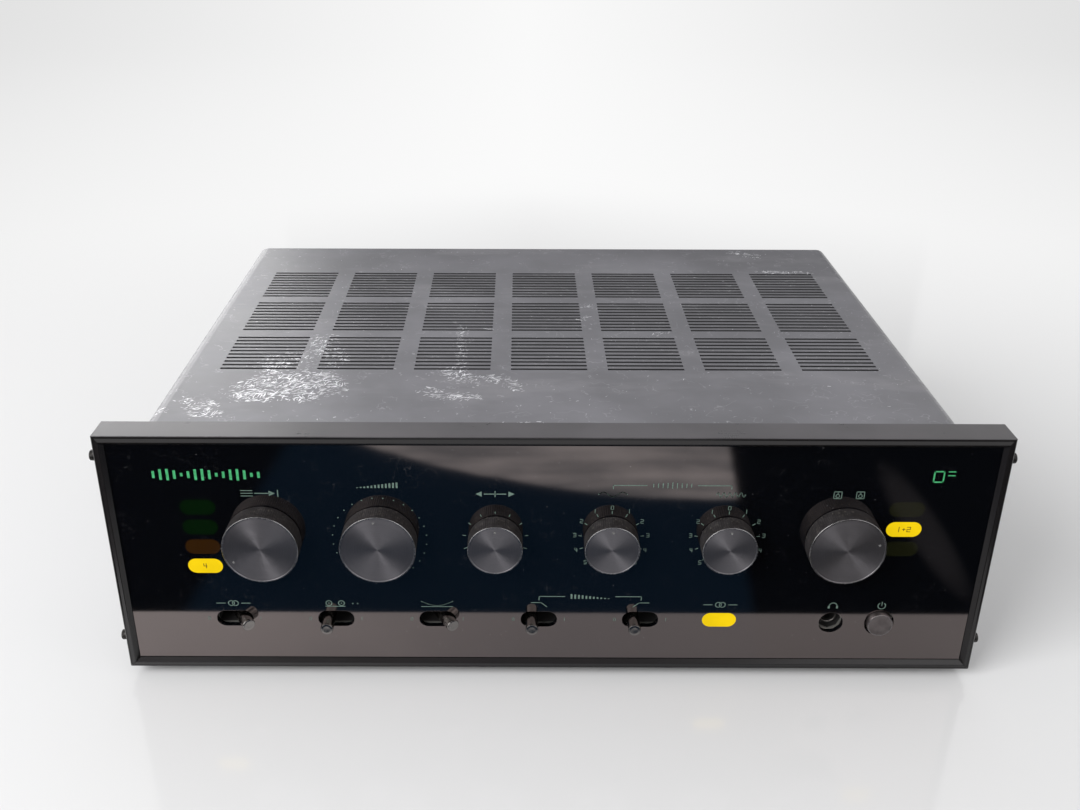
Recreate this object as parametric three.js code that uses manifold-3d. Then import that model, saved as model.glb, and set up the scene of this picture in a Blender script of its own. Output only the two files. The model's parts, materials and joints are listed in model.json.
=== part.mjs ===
import * as THREE from 'three';
import { mergeGeometries, mergeVertices } from 'three/addons/utils/BufferGeometryUtils.js';
import Module from 'manifold-3d';

// Integrated amplifier of the 1970s: a smoked front plate in a mitred frame, six knobs, five lever
// switches, lit windows, and a folded steel cover with 210 vent slots.
// Millimetres. X runs to the right, Y back from the frame's front plane, Z up from the table.

const wasm = await Module();
wasm.setup();

// Fits shared by all pieces
const fit_gap = 0.3;
const cut_overrun = 1;
const weld_distance = 0.0001;

// Frame round the front plate
const frame_width = 440;
const frame_height = 136;
const frame_depth = 16.6;
const frame_ground_gap = 6;
const frame_sight = 5.2;
const frame_wall = 2.6;
const frame_land = 1.3;
const frame_land_setback = 0.6;
const frame_roll_width = 1.7;
const frame_bevel_width = 1.8;
const frame_edge_ease = 0.4;
const frame_screw_head_radius = 2.75;
const frame_screw_head_height = 5;
const frame_screw_dome = 0.6;
const frame_screw_shank_radius = 1.5;
const frame_screw_edge_distance = 14.5;

// Front plate and the steel panel behind it
const plate_recess = 2.4;
const plate_thickness = 3;
const panel_steel = 1.2;
const panel_flange_depth = 8;
const panel_shelf_depth = 14;

// Knobs and their shafts
const knob_count = 6;
const knob_pitch_share = 0.1307;
const knob_row_offset = 0.8;
const knob_row_rise = 78.3;
const knob_reach = 8.5;
const large_knob_radius = 18.8;
const small_knob_radius = 13.6;
const knob_rim = 0.9;
const knob_face_dish = 0.5;
const knob_face_thickness = 3;
const knob_wall = 1.8;
const knob_dot_radius = 0.9;
const knob_dot_depth = 0.35;
const knob_dot_edge_distance = 2.9;
const hub_wall = 3;
const shaft_radius = 3;
const shaft_engagement = 8;

// Potentiometers and rotary switches
const bushing_wall = 1.6;
const nut_radius = 6.6;
const nut_thickness = 2.4;
const plate_hole_radius = 8;
const pot_radius = 12;
const pot_depth = 12;
const pot_tab_width = 14;
const pot_tab_length = 6;
const pot_tab_thickness = 1.6;
const wafer_radius = 14.5;
const wafer_thickness = 1.6;
const wafer_pitch = 12;
const wafer_count = 2;
const wafer_hub_radius = 7;

// Windows
const window_width = 17.5;
const window_height = 8.5;
const window_pitch = 11.4;
const window_column_share = 0.3955;
const input_window_count = 4;
const speaker_window_count = 3;
const lens_bar_thickness = 2;
const lens_bar_margin = 2;
const stereo_window_share = 0.1977;
const window_row_offset = 0.7;

// Lever switches
const lever_count = 5;
const first_lever_share = -0.3691;
const lever_pitch_share = 0.1186;
const lever_row_rise = 29.8;
const lever_slot_width = 18.6;
const lever_slot_height = 9.4;
const lever_pivot_depth = 16.5;
const lever_pivot_shift = -3.6;
const lever_length = 23.5;
const lever_tip_radius = 3.3;
const lever_root_radius = 3;
const lever_tip_ease = 0.7;
const lever_boss_radius = 3.4;
const lever_pin_radius = 1.2;
const lever_throw = 31;
const lever_thrown = [true, false, true, false, false];
const lever_case_wall = 1.4;
const lever_case_back_room = 4.4;
const lever_board_thickness = 1.6;
const lever_board_height = 22;

// Power button and headphone jack
const jack_row_rise = 28.3;
const power_side_distance = 50.4;
const power_hole_radius = 7.5;
const power_cap_radius = 6.6;
const power_cap_length = 8.5;
const power_cap_ease = 0.5;
const power_travel = 3;
const power_stem_radius = 2.5;
const power_stem_length = 14;
const power_case_width = 19;
const power_case_length = 32;
const phones_side_distance = 75.3;
const phones_hole_radius = 6.15;
const phones_bore_radius = 3.25;
const phones_bore_length = 24;
const phones_bushing_radius = 4.6;
const phones_bushing_recess = 6.4;
const phones_well_radius = 6;
const phones_well_depth = 1.6;
const phones_case_width = 15;
const phones_case_wall = 2;

// Folded cover with its vents
const cover_side_inset = 17.5;
const cover_drop = 3.6;
const cover_length = 284;
const cover_steel = 1.2;
const cover_fold_radius = 7;
const vent_columns = 7;
const vent_rows = 3;
const vent_slots_per_block = 10;
const vent_slot_share = 0.788;
const vent_slot_width = 2.1;
const vent_slot_pitch = 4.92;
const vent_column_share = 0.1307;
const vent_row_pitch = 56.9;
const vent_front_margin = 71;

// Base tray and feet
const tray_frame_rise = 4;
const tray_steel = 1.2;
const tray_fold_radius = 2.5;
const tray_wall_height = 24;
const tray_slot_width = 4;
const tray_slot_length = 50;
const tray_slot_pitch = 14;
const tray_slots_per_group = 6;
const foot_radius = 20;
const foot_taper = 2.5;
const foot_ease = 1.2;
const foot_recess_radius = 6;
const foot_recess_depth = 4;
const foot_side_distance = 51;
const foot_front_distance = 40;
const foot_rear_distance = 42;

// Rear panel and what is fixed to it
const rear_panel_inset = 2;
const rear_steel = 1.2;
const rear_shelf_depth = 12;
const rear_row_rise = 52;
const jack_columns = 4;
const jack_rows = 2;
const jack_pitch = 14;
const jack_radius = 4.2;
const jack_bore_radius = 1.7;
const jack_bore_depth = 6;
const jack_length = 8;
const jack_plate_thickness = 2;
const jack_plate_margin = 8;
const jack_block_share = -0.268;
const post_share = -0.136;
const post_cap_radius = 4.6;
const post_cap_length = 5;
const post_stud_radius = 2;
const terminal_columns = 4;
const terminal_rows = 2;
const terminal_pitch = 17;
const terminal_cap_radius = 5;
const terminal_cap_length = 6.5;
const terminal_plate_thickness = 2.5;
const terminal_plate_margin = 7;
const terminal_block_share = 0.068;
const fuse_share = 0.236;
const fuse_cap_radius = 7.5;
const fuse_cap_length = 8.5;
const fuse_body_radius = 6;
const fuse_body_length = 24;
const inlet_share = 0.341;
const inlet_flange_width = 34;
const inlet_flange_height = 21;
const inlet_flange_thickness = 2.5;
const inlet_recess_width = 20;
const inlet_recess_height = 11;
const inlet_recess_depth = 14;
const inlet_wall = 1.8;
const inlet_pin_radius = 1.2;
const inlet_pin_pitch = 8.6;
const inlet_pin_length = 10;

// Power supply, amplifier boards and heat sink
const core_width = 84;
const core_height = 70;
const core_stack = 36;
const core_leg = 14;
const core_foot_width = 12;
const core_foot_thickness = 3;
const core_share = -0.277;
const core_y = 150;
const winding_overhang = 13;
const capacitor_radius = 17.5;
const capacitor_height = 62;
const capacitor_bead_depth = 1.2;
const capacitor_bead_width = 2;
const capacitor_bead_rise = 8;
const capacitor_rim_ease = 1;
const capacitor_share = -0.0955;
const capacitor_y = 128;
const capacitor_pitch = 46;
const board_thickness = 1.6;
const standoff_height = 6;
const standoff_radius = 3.5;
const standoff_inset = 8;
const power_board_width = 168;
const power_board_depth = 96;
const power_board_share = 0.186;
const power_board_y = 152;
const preamp_board_height = 54;
const preamp_board_overhang = 18;
const sink_width = 200;
const sink_height = 74;
const sink_depth = 42;
const sink_base = 6;
const sink_fins = 13;
const sink_fin_root = 3.4;
const sink_fin_tip = 1.8;
const sink_share = 0.15;
const sink_y = 226;

// Facets round each kind of curve
const knob_sides = 28;
const rod_sides = 10;
const body_sides = 16;
const hidden_sides = 8;
const ring_sides = 24;
const nut_sides = 6;
const arc_halves = 3;
const shown_hole_arcs = 4;

// Places across the front and the case, each as its share of the frame's width
const cover_width = frame_width - 2 * cover_side_inset;
const knob_pitch = frame_width * knob_pitch_share;
const knob_places = centred_row(knob_count, knob_pitch).map((x) => x + knob_row_offset);
const lever_places = Array.from({ length: lever_count }, (_, i) => (
  frame_width * (first_lever_share + i * lever_pitch_share)
));
const window_column_x = frame_width * window_column_share;
const stereo_window_x = frame_width * stereo_window_share;
const power_x = frame_width / 2 - power_side_distance;
const phones_x = frame_width / 2 - phones_side_distance;
const vent_column_pitch = cover_width * vent_column_share;
const vent_slot_length = vent_column_pitch * vent_slot_share;
const jack_block_x = frame_width * jack_block_share;
const post_x = frame_width * post_share;
const terminal_block_x = frame_width * terminal_block_share;
const fuse_x = frame_width * fuse_share;
const inlet_x = frame_width * inlet_share;
const core_x = frame_width * core_share;
const capacitor_x = frame_width * capacitor_share;
const power_board_x = frame_width * power_board_share;
const sink_x = frame_width * sink_share;

// Heights and depths that follow from the sizes above
const frame_middle = frame_ground_gap + frame_height / 2;
const knob_row = frame_ground_gap + knob_row_rise;
const lever_row = frame_ground_gap + lever_row_rise;
const jack_row = frame_ground_gap + jack_row_rise;
const plate_back = plate_recess + plate_thickness;
const panel_front = plate_back + fit_gap;
const panel_back = panel_front + panel_steel;
const behind_panel = panel_back + fit_gap;
const frame_screw_depth = panel_back + panel_flange_depth / 4;
const opening_half_width = frame_width / 2 - frame_wall - fit_gap;
const opening_half_height = frame_height / 2 - frame_wall - fit_gap;
const tray_ground = frame_ground_gap + tray_frame_rise;
const tray_top = tray_ground + tray_steel;
const on_tray = tray_top + fit_gap;
const cover_front = frame_depth + fit_gap;
const cover_rear = cover_front + cover_length;
const cover_top = frame_ground_gap + frame_height - cover_drop;
const cover_ceiling = cover_top - cover_steel;
const inner_width = cover_width - 2 * (cover_steel + fit_gap);
const rear_face = cover_rear - rear_panel_inset;
const rear_inside = rear_face - rear_steel;
const tray_front = panel_back + panel_flange_depth / 2;
const on_rear = rear_face + fit_gap;
const rear_row = tray_ground + rear_row_rise;
const bore_radius = shaft_radius + fit_gap;
const bushing_radius = bore_radius + bushing_wall;
const knob_back = plate_recess - fit_gap;
const knob_length = knob_back + knob_reach;
const window_rows = centred_row(input_window_count, window_pitch).map((z) => (
  knob_row + window_row_offset - z
));

// Finishes, as colour, roughness and metalness
const finishes = {
  anodised_black: [0x24211f, 0.42, 0.7],
  smoked_acrylic: [0x07090d, 0.06, 0],
  zinc_steel: [0x9a9c98, 0.45, 0.85],
  cover_paint: [0x6a6a6f, 0.55, 0.1],
  knob_metal: [0x2b2b2e, 0.38, 0.85],
  bright_chrome: [0xb9b9bb, 0.2, 1],
  spun_aluminium: [0x8f8b88, 0.35, 0.9],
  lit_amber: [0xf2b81c, 0.4, 0],
  black_plastic: [0x161616, 0.5, 0],
  black_rubber: [0x1b1b1b, 0.85, 0],
  core_iron: [0x4a4846, 0.6, 0.6],
  winding_tape: [0xb59a3c, 0.6, 0],
  capacitor_sleeve: [0x1d3f7a, 0.4, 0],
  board_brown: [0x8a5a2b, 0.7, 0],
  raw_aluminium: [0xa7a9ab, 0.5, 0.9],
  phenolic: [0x2c2018, 0.6, 0],
};

// Places of a row of like things, spread evenly about zero
function centred_row(count, pitch) {
  return Array.from({ length: count }, (_, i) => (i - (count - 1) / 2) * pitch);
}

// Solids from closed geometries
function solid(geometry) {
  const bare = geometry.clone();
  bare.deleteAttribute('normal');
  bare.deleteAttribute('uv');
  const welded = mergeVertices(bare, weld_distance);
  const corners = welded.index.array;
  const kept = [];
  for (let i = 0; i < corners.length; i += 3) {
    const [a, b, c] = [corners[i], corners[i + 1], corners[i + 2]];
    if (a !== b && b !== c && c !== a) {
      kept.push(a, b, c);
    }
  }
  return new wasm.Manifold(new wasm.Mesh({
    numProp: 3,
    vertProperties: Float32Array.from(welded.attributes.position.array),
    triVerts: Uint32Array.from(kept),
  }));
}

function geometry_of(body) {
  const mesh = body.getMesh();
  const geometry = new THREE.BufferGeometry();
  geometry.setAttribute('position', new THREE.BufferAttribute(Float32Array.from(mesh.vertProperties), 3));
  geometry.setIndex(new THREE.BufferAttribute(Uint32Array.from(mesh.triVerts), 1));
  geometry.computeVertexNormals();
  return geometry;
}

function joined(bodies) {
  return bodies.reduce((sum, body) => sum.add(body));
}

// Basic forms, each given by its extents along X, Y and Z
function block(x, y, z) {
  const box = new THREE.BoxGeometry(x[1] - x[0], y[1] - y[0], z[1] - z[0]);
  box.translate((x[0] + x[1]) / 2, (y[0] + y[1]) / 2, (z[0] + z[1]) / 2);
  return box;
}

function around(centre, size) {
  return [centre - size / 2, centre + size / 2];
}

// A profile of [radius, distance] points turned round the Y axis, distance measured along Y
function turned_on_y(points, sides) {
  const outline = points.map(([radius, distance]) => new THREE.Vector2(radius, distance));
  return new THREE.LatheGeometry([...outline, outline[0]], sides);
}

function turned_on_z(points, sides) {
  const geometry = turned_on_y(points, sides);
  geometry.rotateX(Math.PI / 2);
  return geometry;
}

function rod_on_y(radius, y, x, z, sides = rod_sides) {
  const geometry = turned_on_y([[0, y[0]], [radius, y[0]], [radius, y[1]], [0, y[1]]], sides);
  geometry.translate(x, 0, z);
  return geometry;
}

function rod_on_z(radius, z, x, y, sides = rod_sides) {
  const geometry = turned_on_z([[0, z[0]], [radius, z[0]], [radius, z[1]], [0, z[1]]], sides);
  geometry.translate(x, y, 0);
  return geometry;
}

// Outlines in the XZ plane, and their extrusion back along Y
function rectangle(x, z) {
  const outline = new THREE.Shape();
  outline.moveTo(x[0], z[0]);
  outline.lineTo(x[1], z[0]);
  outline.lineTo(x[1], z[1]);
  outline.lineTo(x[0], z[1]);
  outline.closePath();
  return outline;
}

function stadium(x, z, width, height) {
  const radius = height / 2;
  const reach = width / 2 - radius;
  const outline = new THREE.Shape();
  outline.absarc(x + reach, z, radius, -Math.PI / 2, Math.PI / 2);
  outline.absarc(x - reach, z, radius, Math.PI / 2, 3 * Math.PI / 2);
  outline.closePath();
  return outline;
}

function disc(x, z, radius) {
  const outline = new THREE.Shape();
  const sweep = 2 * Math.PI / shown_hole_arcs;
  for (let arc = 0; arc < shown_hole_arcs; arc += 1) {
    outline.absarc(x, z, radius, arc * sweep, (arc + 1) * sweep);
  }
  return outline;
}

function extruded_back(outline, y) {
  const depth = y[1] - y[0];
  const options = { depth, bevelEnabled: false, curveSegments: arc_halves };
  const geometry = new THREE.ExtrudeGeometry(outline, options);
  geometry.rotateX(Math.PI / 2);
  geometry.translate(0, y[1], 0);
  return geometry;
}

// A sheet in the XZ plane with openings cut through it: outlines, and drilled holes as [x, z, radius]
function pierced_sheet(outline, y, openings, drillings = []) {
  const through = [y[0] - cut_overrun, y[1] + cut_overrun];
  const cutters = openings.map((opening) => solid(extruded_back(opening, through)));
  const drills = drillings.map(([x, z, radius]) => solid(rod_on_y(radius, through, x, z, hidden_sides)));
  return solid(extruded_back(outline, y)).subtract(joined([...cutters, ...drills]));
}

// A sheet folded twice: a web on top and a wall down each side, lower edges at z = 0
function channel_outline(width, height, sheet, radius) {
  const half = width / 2;
  const outline = new THREE.Shape();
  outline.moveTo(half, 0);
  outline.lineTo(half, height - radius);
  outline.absarc(half - radius, height - radius, radius, 0, Math.PI / 2);
  outline.lineTo(radius - half, height);
  outline.absarc(radius - half, height - radius, radius, Math.PI / 2, Math.PI);
  outline.lineTo(-half, 0);
  outline.lineTo(sheet - half, 0);
  outline.lineTo(sheet - half, height - radius);
  outline.absarc(radius - half, height - radius, radius - sheet, Math.PI, Math.PI / 2, true);
  outline.lineTo(half - radius, height - sheet);
  outline.absarc(half - radius, height - radius, radius - sheet, Math.PI / 2, 0, true);
  outline.lineTo(half - sheet, 0);
  outline.closePath();
  return outline;
}

// The assembly, with its origin under the middle of its bounding box
const front_reach = knob_reach;
const rear_reach = on_rear + Math.max(
  jack_plate_thickness + jack_length,
  terminal_plate_thickness + terminal_cap_length,
  fuse_cap_length,
);
const amplifier = new THREE.Group();
const assembly = new THREE.Group();
assembly.position.y = -(rear_reach - front_reach) / 2;
amplifier.add(assembly);

function add(name, body, finish, place = [0, 0, 0], turn = [0, 0, 0]) {
  const [color, roughness, metalness] = finishes[finish];
  const material = new THREE.MeshStandardMaterial({ color, roughness, metalness });
  const mesh = new THREE.Mesh(geometry_of(body), material);
  mesh.name = name;
  mesh.position.set(...place);
  mesh.rotation.set(...turn);
  assembly.add(mesh);
}

// Frame member: its profile is swept between two mitres, as [inset from the outer edge, depth]
function frame_member(half_length, half_reach) {
  const bevel_start = frame_sight - frame_bevel_width;
  const profile = [
    [0, frame_land_setback + frame_edge_ease],
    [frame_edge_ease, frame_land_setback],
    [frame_land, frame_land_setback],
    [frame_land + frame_roll_width, 0],
    [bevel_start, 0],
    [frame_sight, plate_recess - fit_gap],
    [frame_wall, plate_recess - fit_gap],
    [frame_wall, frame_depth],
    [0, frame_depth],
  ];
  const outline = new THREE.Shape(profile.map(([inset, depth]) => new THREE.Vector2(inset, depth)));
  const geometry = new THREE.ExtrudeGeometry(outline, { depth: 1, bevelEnabled: false });
  const places = geometry.attributes.position;
  for (let i = 0; i < places.count; i += 1) {
    const inset = places.getX(i);
    const end = 2 * places.getZ(i) - 1;
    places.setXYZ(i, end * (half_length - inset - fit_gap / 2), places.getY(i), half_reach - inset);
  }
  return solid(geometry);
}

const quarter_turn = Math.PI / 2;
const across = frame_member(frame_width / 2, frame_height / 2);
const upright = frame_member(frame_height / 2, frame_width / 2);
const frame_place = [0, 0, frame_middle];
const side_screw_hole = frame_screw_shank_radius + fit_gap;
const screw_rise = frame_height / 2 - frame_screw_edge_distance;
const screw_rises = [screw_rise, -screw_rise];
const side_screw_holes = joined(screw_rises.map((rise) => {
  const reach = frame_width / 2;
  return solid(rod_on_z(side_screw_hole, [reach - frame_wall - cut_overrun, reach + cut_overrun],
    rise, frame_screw_depth));
}));
const drilled_upright = upright.subtract(side_screw_holes);
add('frame_top', across, 'anodised_black', frame_place);
add('frame_bottom', across, 'anodised_black', frame_place, [0, 2 * quarter_turn, 0]);
add('frame_right', drilled_upright, 'anodised_black', frame_place, [0, quarter_turn, 0]);
add('frame_left', drilled_upright, 'anodised_black', frame_place, [0, -quarter_turn, 0]);

// Screws through the frame's sides into the flanges of the steel panel
const screw_profile = [
  [0, -frame_wall - fit_gap - panel_steel],
  [frame_screw_shank_radius, -frame_wall - fit_gap - panel_steel],
  [frame_screw_shank_radius, fit_gap],
  [frame_screw_head_radius, fit_gap],
  [frame_screw_head_radius, frame_screw_head_height - frame_screw_dome],
  [frame_screw_head_radius - frame_screw_dome, frame_screw_head_height],
  [0, frame_screw_head_height],
];
const frame_screw = solid(turned_on_z(screw_profile, hidden_sides));
for (const [side, sign] of [['left', -1], ['right', 1]]) {
  for (const [level, rise] of [['upper', screw_rises[0]], ['lower', screw_rises[1]]]) {
    const place = [sign * frame_width / 2, frame_screw_depth, frame_middle + rise];
    add(`frame_screw_${side}_${level}`, frame_screw, 'bright_chrome', place, [0, sign * quarter_turn, 0]);
  }
}

// Openings that the front plate and the steel panel share
const lens_columns = [
  { x: -window_column_x, rows: window_rows.slice(0, input_window_count) },
  { x: window_column_x, rows: window_rows.slice(0, speaker_window_count) },
  { x: stereo_window_x, rows: [lever_row] },
];

function slot_holes(outline_at) {
  const width = window_width + 2 * fit_gap;
  const height = window_height + 2 * fit_gap;
  return [
    ...lens_columns.flatMap(({ x, rows }) => rows.map((z) => outline_at(x, z, width, height))),
    ...lever_places.map((x) => outline_at(x, lever_row, lever_slot_width, lever_slot_height)),
  ];
}

function punched_rectangle(x, z, width, height) {
  return rectangle(around(x, width), around(z, height));
}

function control_drillings(radius) {
  return knob_places.map((x) => [x, knob_row, radius]);
}

function front_sheet(y, openings, drillings) {
  const x = around(0, 2 * opening_half_width);
  const z = around(frame_middle, 2 * opening_half_height);
  return pierced_sheet(rectangle(x, z), y, openings, drillings);
}

const plate_openings = [
  ...slot_holes(stadium),
  disc(phones_x, jack_row, phones_hole_radius),
  disc(power_x, jack_row, power_hole_radius),
];
const plate_drillings = control_drillings(plate_hole_radius);
const plate_sheet = front_sheet([plate_recess, plate_back], plate_openings, plate_drillings);
add('front_plate', plate_sheet, 'smoked_acrylic');

// Steel panel with side flanges for the frame's screws and a shelf under the cover's front edge
const panel_drillings = [
  ...control_drillings(bushing_radius + fit_gap),
  [phones_x, jack_row, phones_hole_radius],
  [power_x, jack_row, power_hole_radius],
];
const panel_sheet = front_sheet([panel_front, panel_back], slot_holes(punched_rectangle), panel_drillings);
const flange_y = [panel_front, panel_back + panel_flange_depth];
const flange_z = around(frame_middle, 2 * opening_half_height);
const panel_flanges = [-1, 1].map((side) => {
  const outer = side * opening_half_width;
  const inner = side * (opening_half_width - panel_steel);
  return solid(block([Math.min(outer, inner), Math.max(outer, inner)], flange_y, flange_z));
});
const shelf_top = cover_ceiling - fit_gap;
const shelf_half = inner_width / 2 - cover_fold_radius;
const panel_shelf = solid(block(around(0, 2 * shelf_half), [panel_front, cover_front + panel_shelf_depth],
  [shelf_top - panel_steel, shelf_top]));
const flange_holes = [-1, 1].flatMap((side) => screw_rises.map((rise) => {
  const hole = rod_on_z(side_screw_hole, around(0, 2 * panel_steel + 2 * cut_overrun), 0, 0);
  hole.rotateY(quarter_turn);
  hole.translate(side * opening_half_width, frame_screw_depth, frame_middle + rise);
  return solid(hole);
}));
add('front_panel', joined([panel_sheet, ...panel_flanges, panel_shelf]).subtract(joined(flange_holes)),
  'zinc_steel');

// Knob: turned cap with a dished face, a bright rim, a hollow back and a hub for the shaft
function knob(radius) {
  const hub_radius = bore_radius + hub_wall;
  const rim_inner = radius - 2 * knob_rim;
  const profile = [
    [0, knob_face_dish],
    [rim_inner, knob_face_dish],
    [radius - knob_rim, 0],
    [radius, knob_rim],
    [radius, knob_length],
    [0, knob_length],
  ];
  const hollow_y = [knob_face_thickness + knob_face_dish, knob_length + cut_overrun];
  const hollow = solid(rod_on_y(radius - knob_wall, hollow_y, 0, 0, body_sides))
    .subtract(solid(rod_on_y(hub_radius, [0, knob_length + 2 * cut_overrun], 0, 0, hidden_sides)));
  const bore_y = [knob_face_thickness, knob_length + cut_overrun];
  const dot_y = [-cut_overrun, knob_face_dish + knob_dot_depth];
  const dot = solid(rod_on_y(knob_dot_radius, dot_y, 0, radius - knob_dot_edge_distance, hidden_sides));
  return solid(turned_on_y(profile, knob_sides)).subtract(hollow)
    .subtract(solid(rod_on_y(bore_radius, bore_y, 0, 0, hidden_sides))).subtract(dot);
}

// Potentiometer or switch front: bushing and nut round the shaft's blind bore
const shaft_back = behind_panel + shaft_engagement;
const bushing_front = knob_back + fit_gap;
const bore_depths = [bushing_front - cut_overrun, shaft_back + fit_gap];
const bore = solid(rod_on_y(bore_radius, bore_depths, 0, 0, hidden_sides));

function bushing() {
  const nut_y = [panel_front - fit_gap - nut_thickness, panel_front - fit_gap];
  return [
    solid(rod_on_y(bushing_radius, [bushing_front, behind_panel + cut_overrun], 0, 0, hidden_sides)),
    solid(rod_on_y(nut_radius, nut_y, 0, 0, nut_sides)),
  ];
}

function potentiometer() {
  const can_y = [behind_panel, behind_panel + pot_depth];
  const tab_y = around(behind_panel + pot_depth / 2, pot_tab_thickness);
  const tab = solid(block(around(0, pot_tab_width), tab_y, [-pot_radius - pot_tab_length, -pot_radius / 2]));
  return joined([solid(rod_on_y(pot_radius, can_y, 0, 0, body_sides)), ...bushing(), tab]).subtract(bore);
}

function rotary_switch() {
  const bodies = bushing();
  for (let i = 0; i <= wafer_count; i += 1) {
    const front = behind_panel + i * wafer_pitch;
    bodies.push(solid(rod_on_y(wafer_radius, [front, front + wafer_thickness], 0, 0, rod_sides)));
  }
  const hub_y = [behind_panel + wafer_thickness / 2, behind_panel + wafer_count * wafer_pitch];
  bodies.push(solid(rod_on_y(wafer_hub_radius, hub_y, 0, 0, hidden_sides)));
  return joined(bodies).subtract(bore);
}

const shaft_y = [knob_face_thickness + fit_gap - knob_reach, shaft_back];
const shaft = solid(rod_on_y(shaft_radius, shaft_y, 0, 0, hidden_sides));
const controls = [
  { name: 'selector', radius: large_knob_radius, mount: 'switch', angle: 118 },
  { name: 'volume', radius: large_knob_radius, mount: 'pot', angle: 5 },
  { name: 'balance', radius: small_knob_radius, mount: 'pot', angle: 0 },
  { name: 'bass', radius: small_knob_radius, mount: 'pot', angle: 0 },
  { name: 'treble', radius: small_knob_radius, mount: 'pot', angle: 0 },
  { name: 'speaker', radius: large_knob_radius, mount: 'switch', angle: -76 },
];
controls.forEach(({ name, radius, mount, angle }, i) => {
  const place = [knob_places[i], 0, knob_row];
  const turn = [0, -THREE.MathUtils.degToRad(angle), 0];
  const knob_place = [knob_places[i], -knob_reach, knob_row];
  add(`${name}_knob`, knob(radius), 'knob_metal', knob_place, turn);
  add(`${name}_shaft`, shaft, 'raw_aluminium', place);
  add(`${name}_${mount}`, mount === 'pot' ? potentiometer() : rotary_switch(), 'zinc_steel', place);
});

// Lens bars behind the steel panel, with window bosses that come through flush with the front plate
function lens_bar(x, rows) {
  const half = window_width / 2 + lens_bar_margin;
  const low = Math.min(...rows) - window_height / 2 - lens_bar_margin;
  const high = Math.max(...rows) + window_height / 2 + lens_bar_margin;
  const bar_y = [behind_panel, behind_panel + lens_bar_thickness];
  const bar = solid(block(around(x, 2 * half), bar_y, [low, high]));
  const bosses = rows.map((z) => solid(extruded_back(stadium(x, z, window_width, window_height),
    [plate_recess, behind_panel + lens_bar_thickness / 2])));
  return joined([bar, ...bosses]);
}

const lens_names = ['input_lens_bar', 'speaker_lens_bar', 'stereo_lens'];
lens_columns.forEach(({ x, rows }, i) => add(lens_names[i], lens_bar(x, rows), 'lit_amber'));

// Lever switches: bats on vertical pins, and one board that carries their five cases
const lever_case_half = lever_slot_height / 2;
const lever_pin_hole = lever_pin_radius + fit_gap;

function lever() {
  const profile = [
    [0, -lever_length],
    [lever_tip_radius - lever_tip_ease, -lever_length],
    [lever_tip_radius, lever_tip_ease - lever_length],
    [lever_tip_radius, -lever_length / 2],
    [lever_root_radius, -lever_boss_radius],
    [lever_root_radius, 0],
    [0, 0],
  ];
  const boss_half = lever_case_half - fit_gap;
  const pin_half = lever_case_half + lever_case_wall - fit_gap;
  return joined([
    solid(turned_on_y(profile, rod_sides)),
    solid(rod_on_z(lever_boss_radius, around(0, 2 * boss_half), 0, 0, hidden_sides)),
    solid(rod_on_z(lever_pin_radius, around(0, 2 * pin_half), 0, 0, hidden_sides)),
  ]);
}

const lever_case_back = lever_pivot_depth + lever_case_back_room;
const lever_board_y = [lever_case_back, lever_case_back + lever_board_thickness];
const lever_case_outer = lever_case_half + lever_case_wall;
const board_x = [lever_places[0] - lever_slot_width, lever_places[lever_count - 1] + lever_slot_width];
const lever_cases = lever_places.flatMap((x) => {
  const room = around(x, lever_slot_width);
  const shell = around(x, lever_slot_width + 2 * lever_case_wall);
  const case_z = around(lever_row, 2 * lever_case_outer);
  const room_z = around(lever_row, 2 * lever_case_half);
  const pin_z = around(lever_row, 2 * lever_case_outer + cut_overrun);
  const hollow = solid(block(room, [behind_panel - cut_overrun, lever_case_back], room_z));
  const pin_x = x + lever_pivot_shift;
  const pin_hole = solid(rod_on_z(lever_pin_hole, pin_z, pin_x, lever_pivot_depth, hidden_sides));
  return solid(block(shell, [behind_panel, lever_case_back + lever_board_thickness / 2], case_z))
    .subtract(hollow).subtract(pin_hole);
});
const lever_board = solid(block(board_x, lever_board_y, around(lever_row, lever_board_height)));
add('lever_switch_bank', joined([lever_board, ...lever_cases]), 'black_plastic');
lever_places.forEach((x, i) => {
  const lean = lever_thrown[i] ? THREE.MathUtils.degToRad(lever_throw) : 0;
  add(`lever_${i + 1}`, lever(), 'bright_chrome', [x + lever_pivot_shift, lever_pivot_depth, lever_row],
    [0, 0, lean]);
});

// Power button and its switch
const power_place = [power_x, 0, jack_row];
const cap_profile = [
  [0, 0],
  [power_cap_radius - power_cap_ease, 0],
  [power_cap_radius, power_cap_ease],
  [power_cap_radius, power_cap_length],
  [power_stem_radius, power_cap_length],
  [power_stem_radius, power_cap_length + power_stem_length],
  [0, power_cap_length + power_stem_length],
];
add('power_button', solid(turned_on_y(cap_profile, ring_sides)), 'spun_aluminium', power_place);
const power_case_y = [behind_panel, behind_panel + power_case_length];
const cap_room_end = power_cap_length + power_travel + fit_gap;
const stem_room_end = power_cap_length + power_stem_length + power_travel + fit_gap;
const power_case = solid(block(around(0, power_case_width), power_case_y, around(0, power_case_width)))
  .subtract(solid(rod_on_y(power_hole_radius, [behind_panel - cut_overrun, cap_room_end], 0, 0, body_sides)))
  .subtract(solid(rod_on_y(power_stem_radius + fit_gap, [behind_panel, stem_room_end], 0, 0)));
add('power_switch', power_case, 'black_plastic', power_place);

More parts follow.
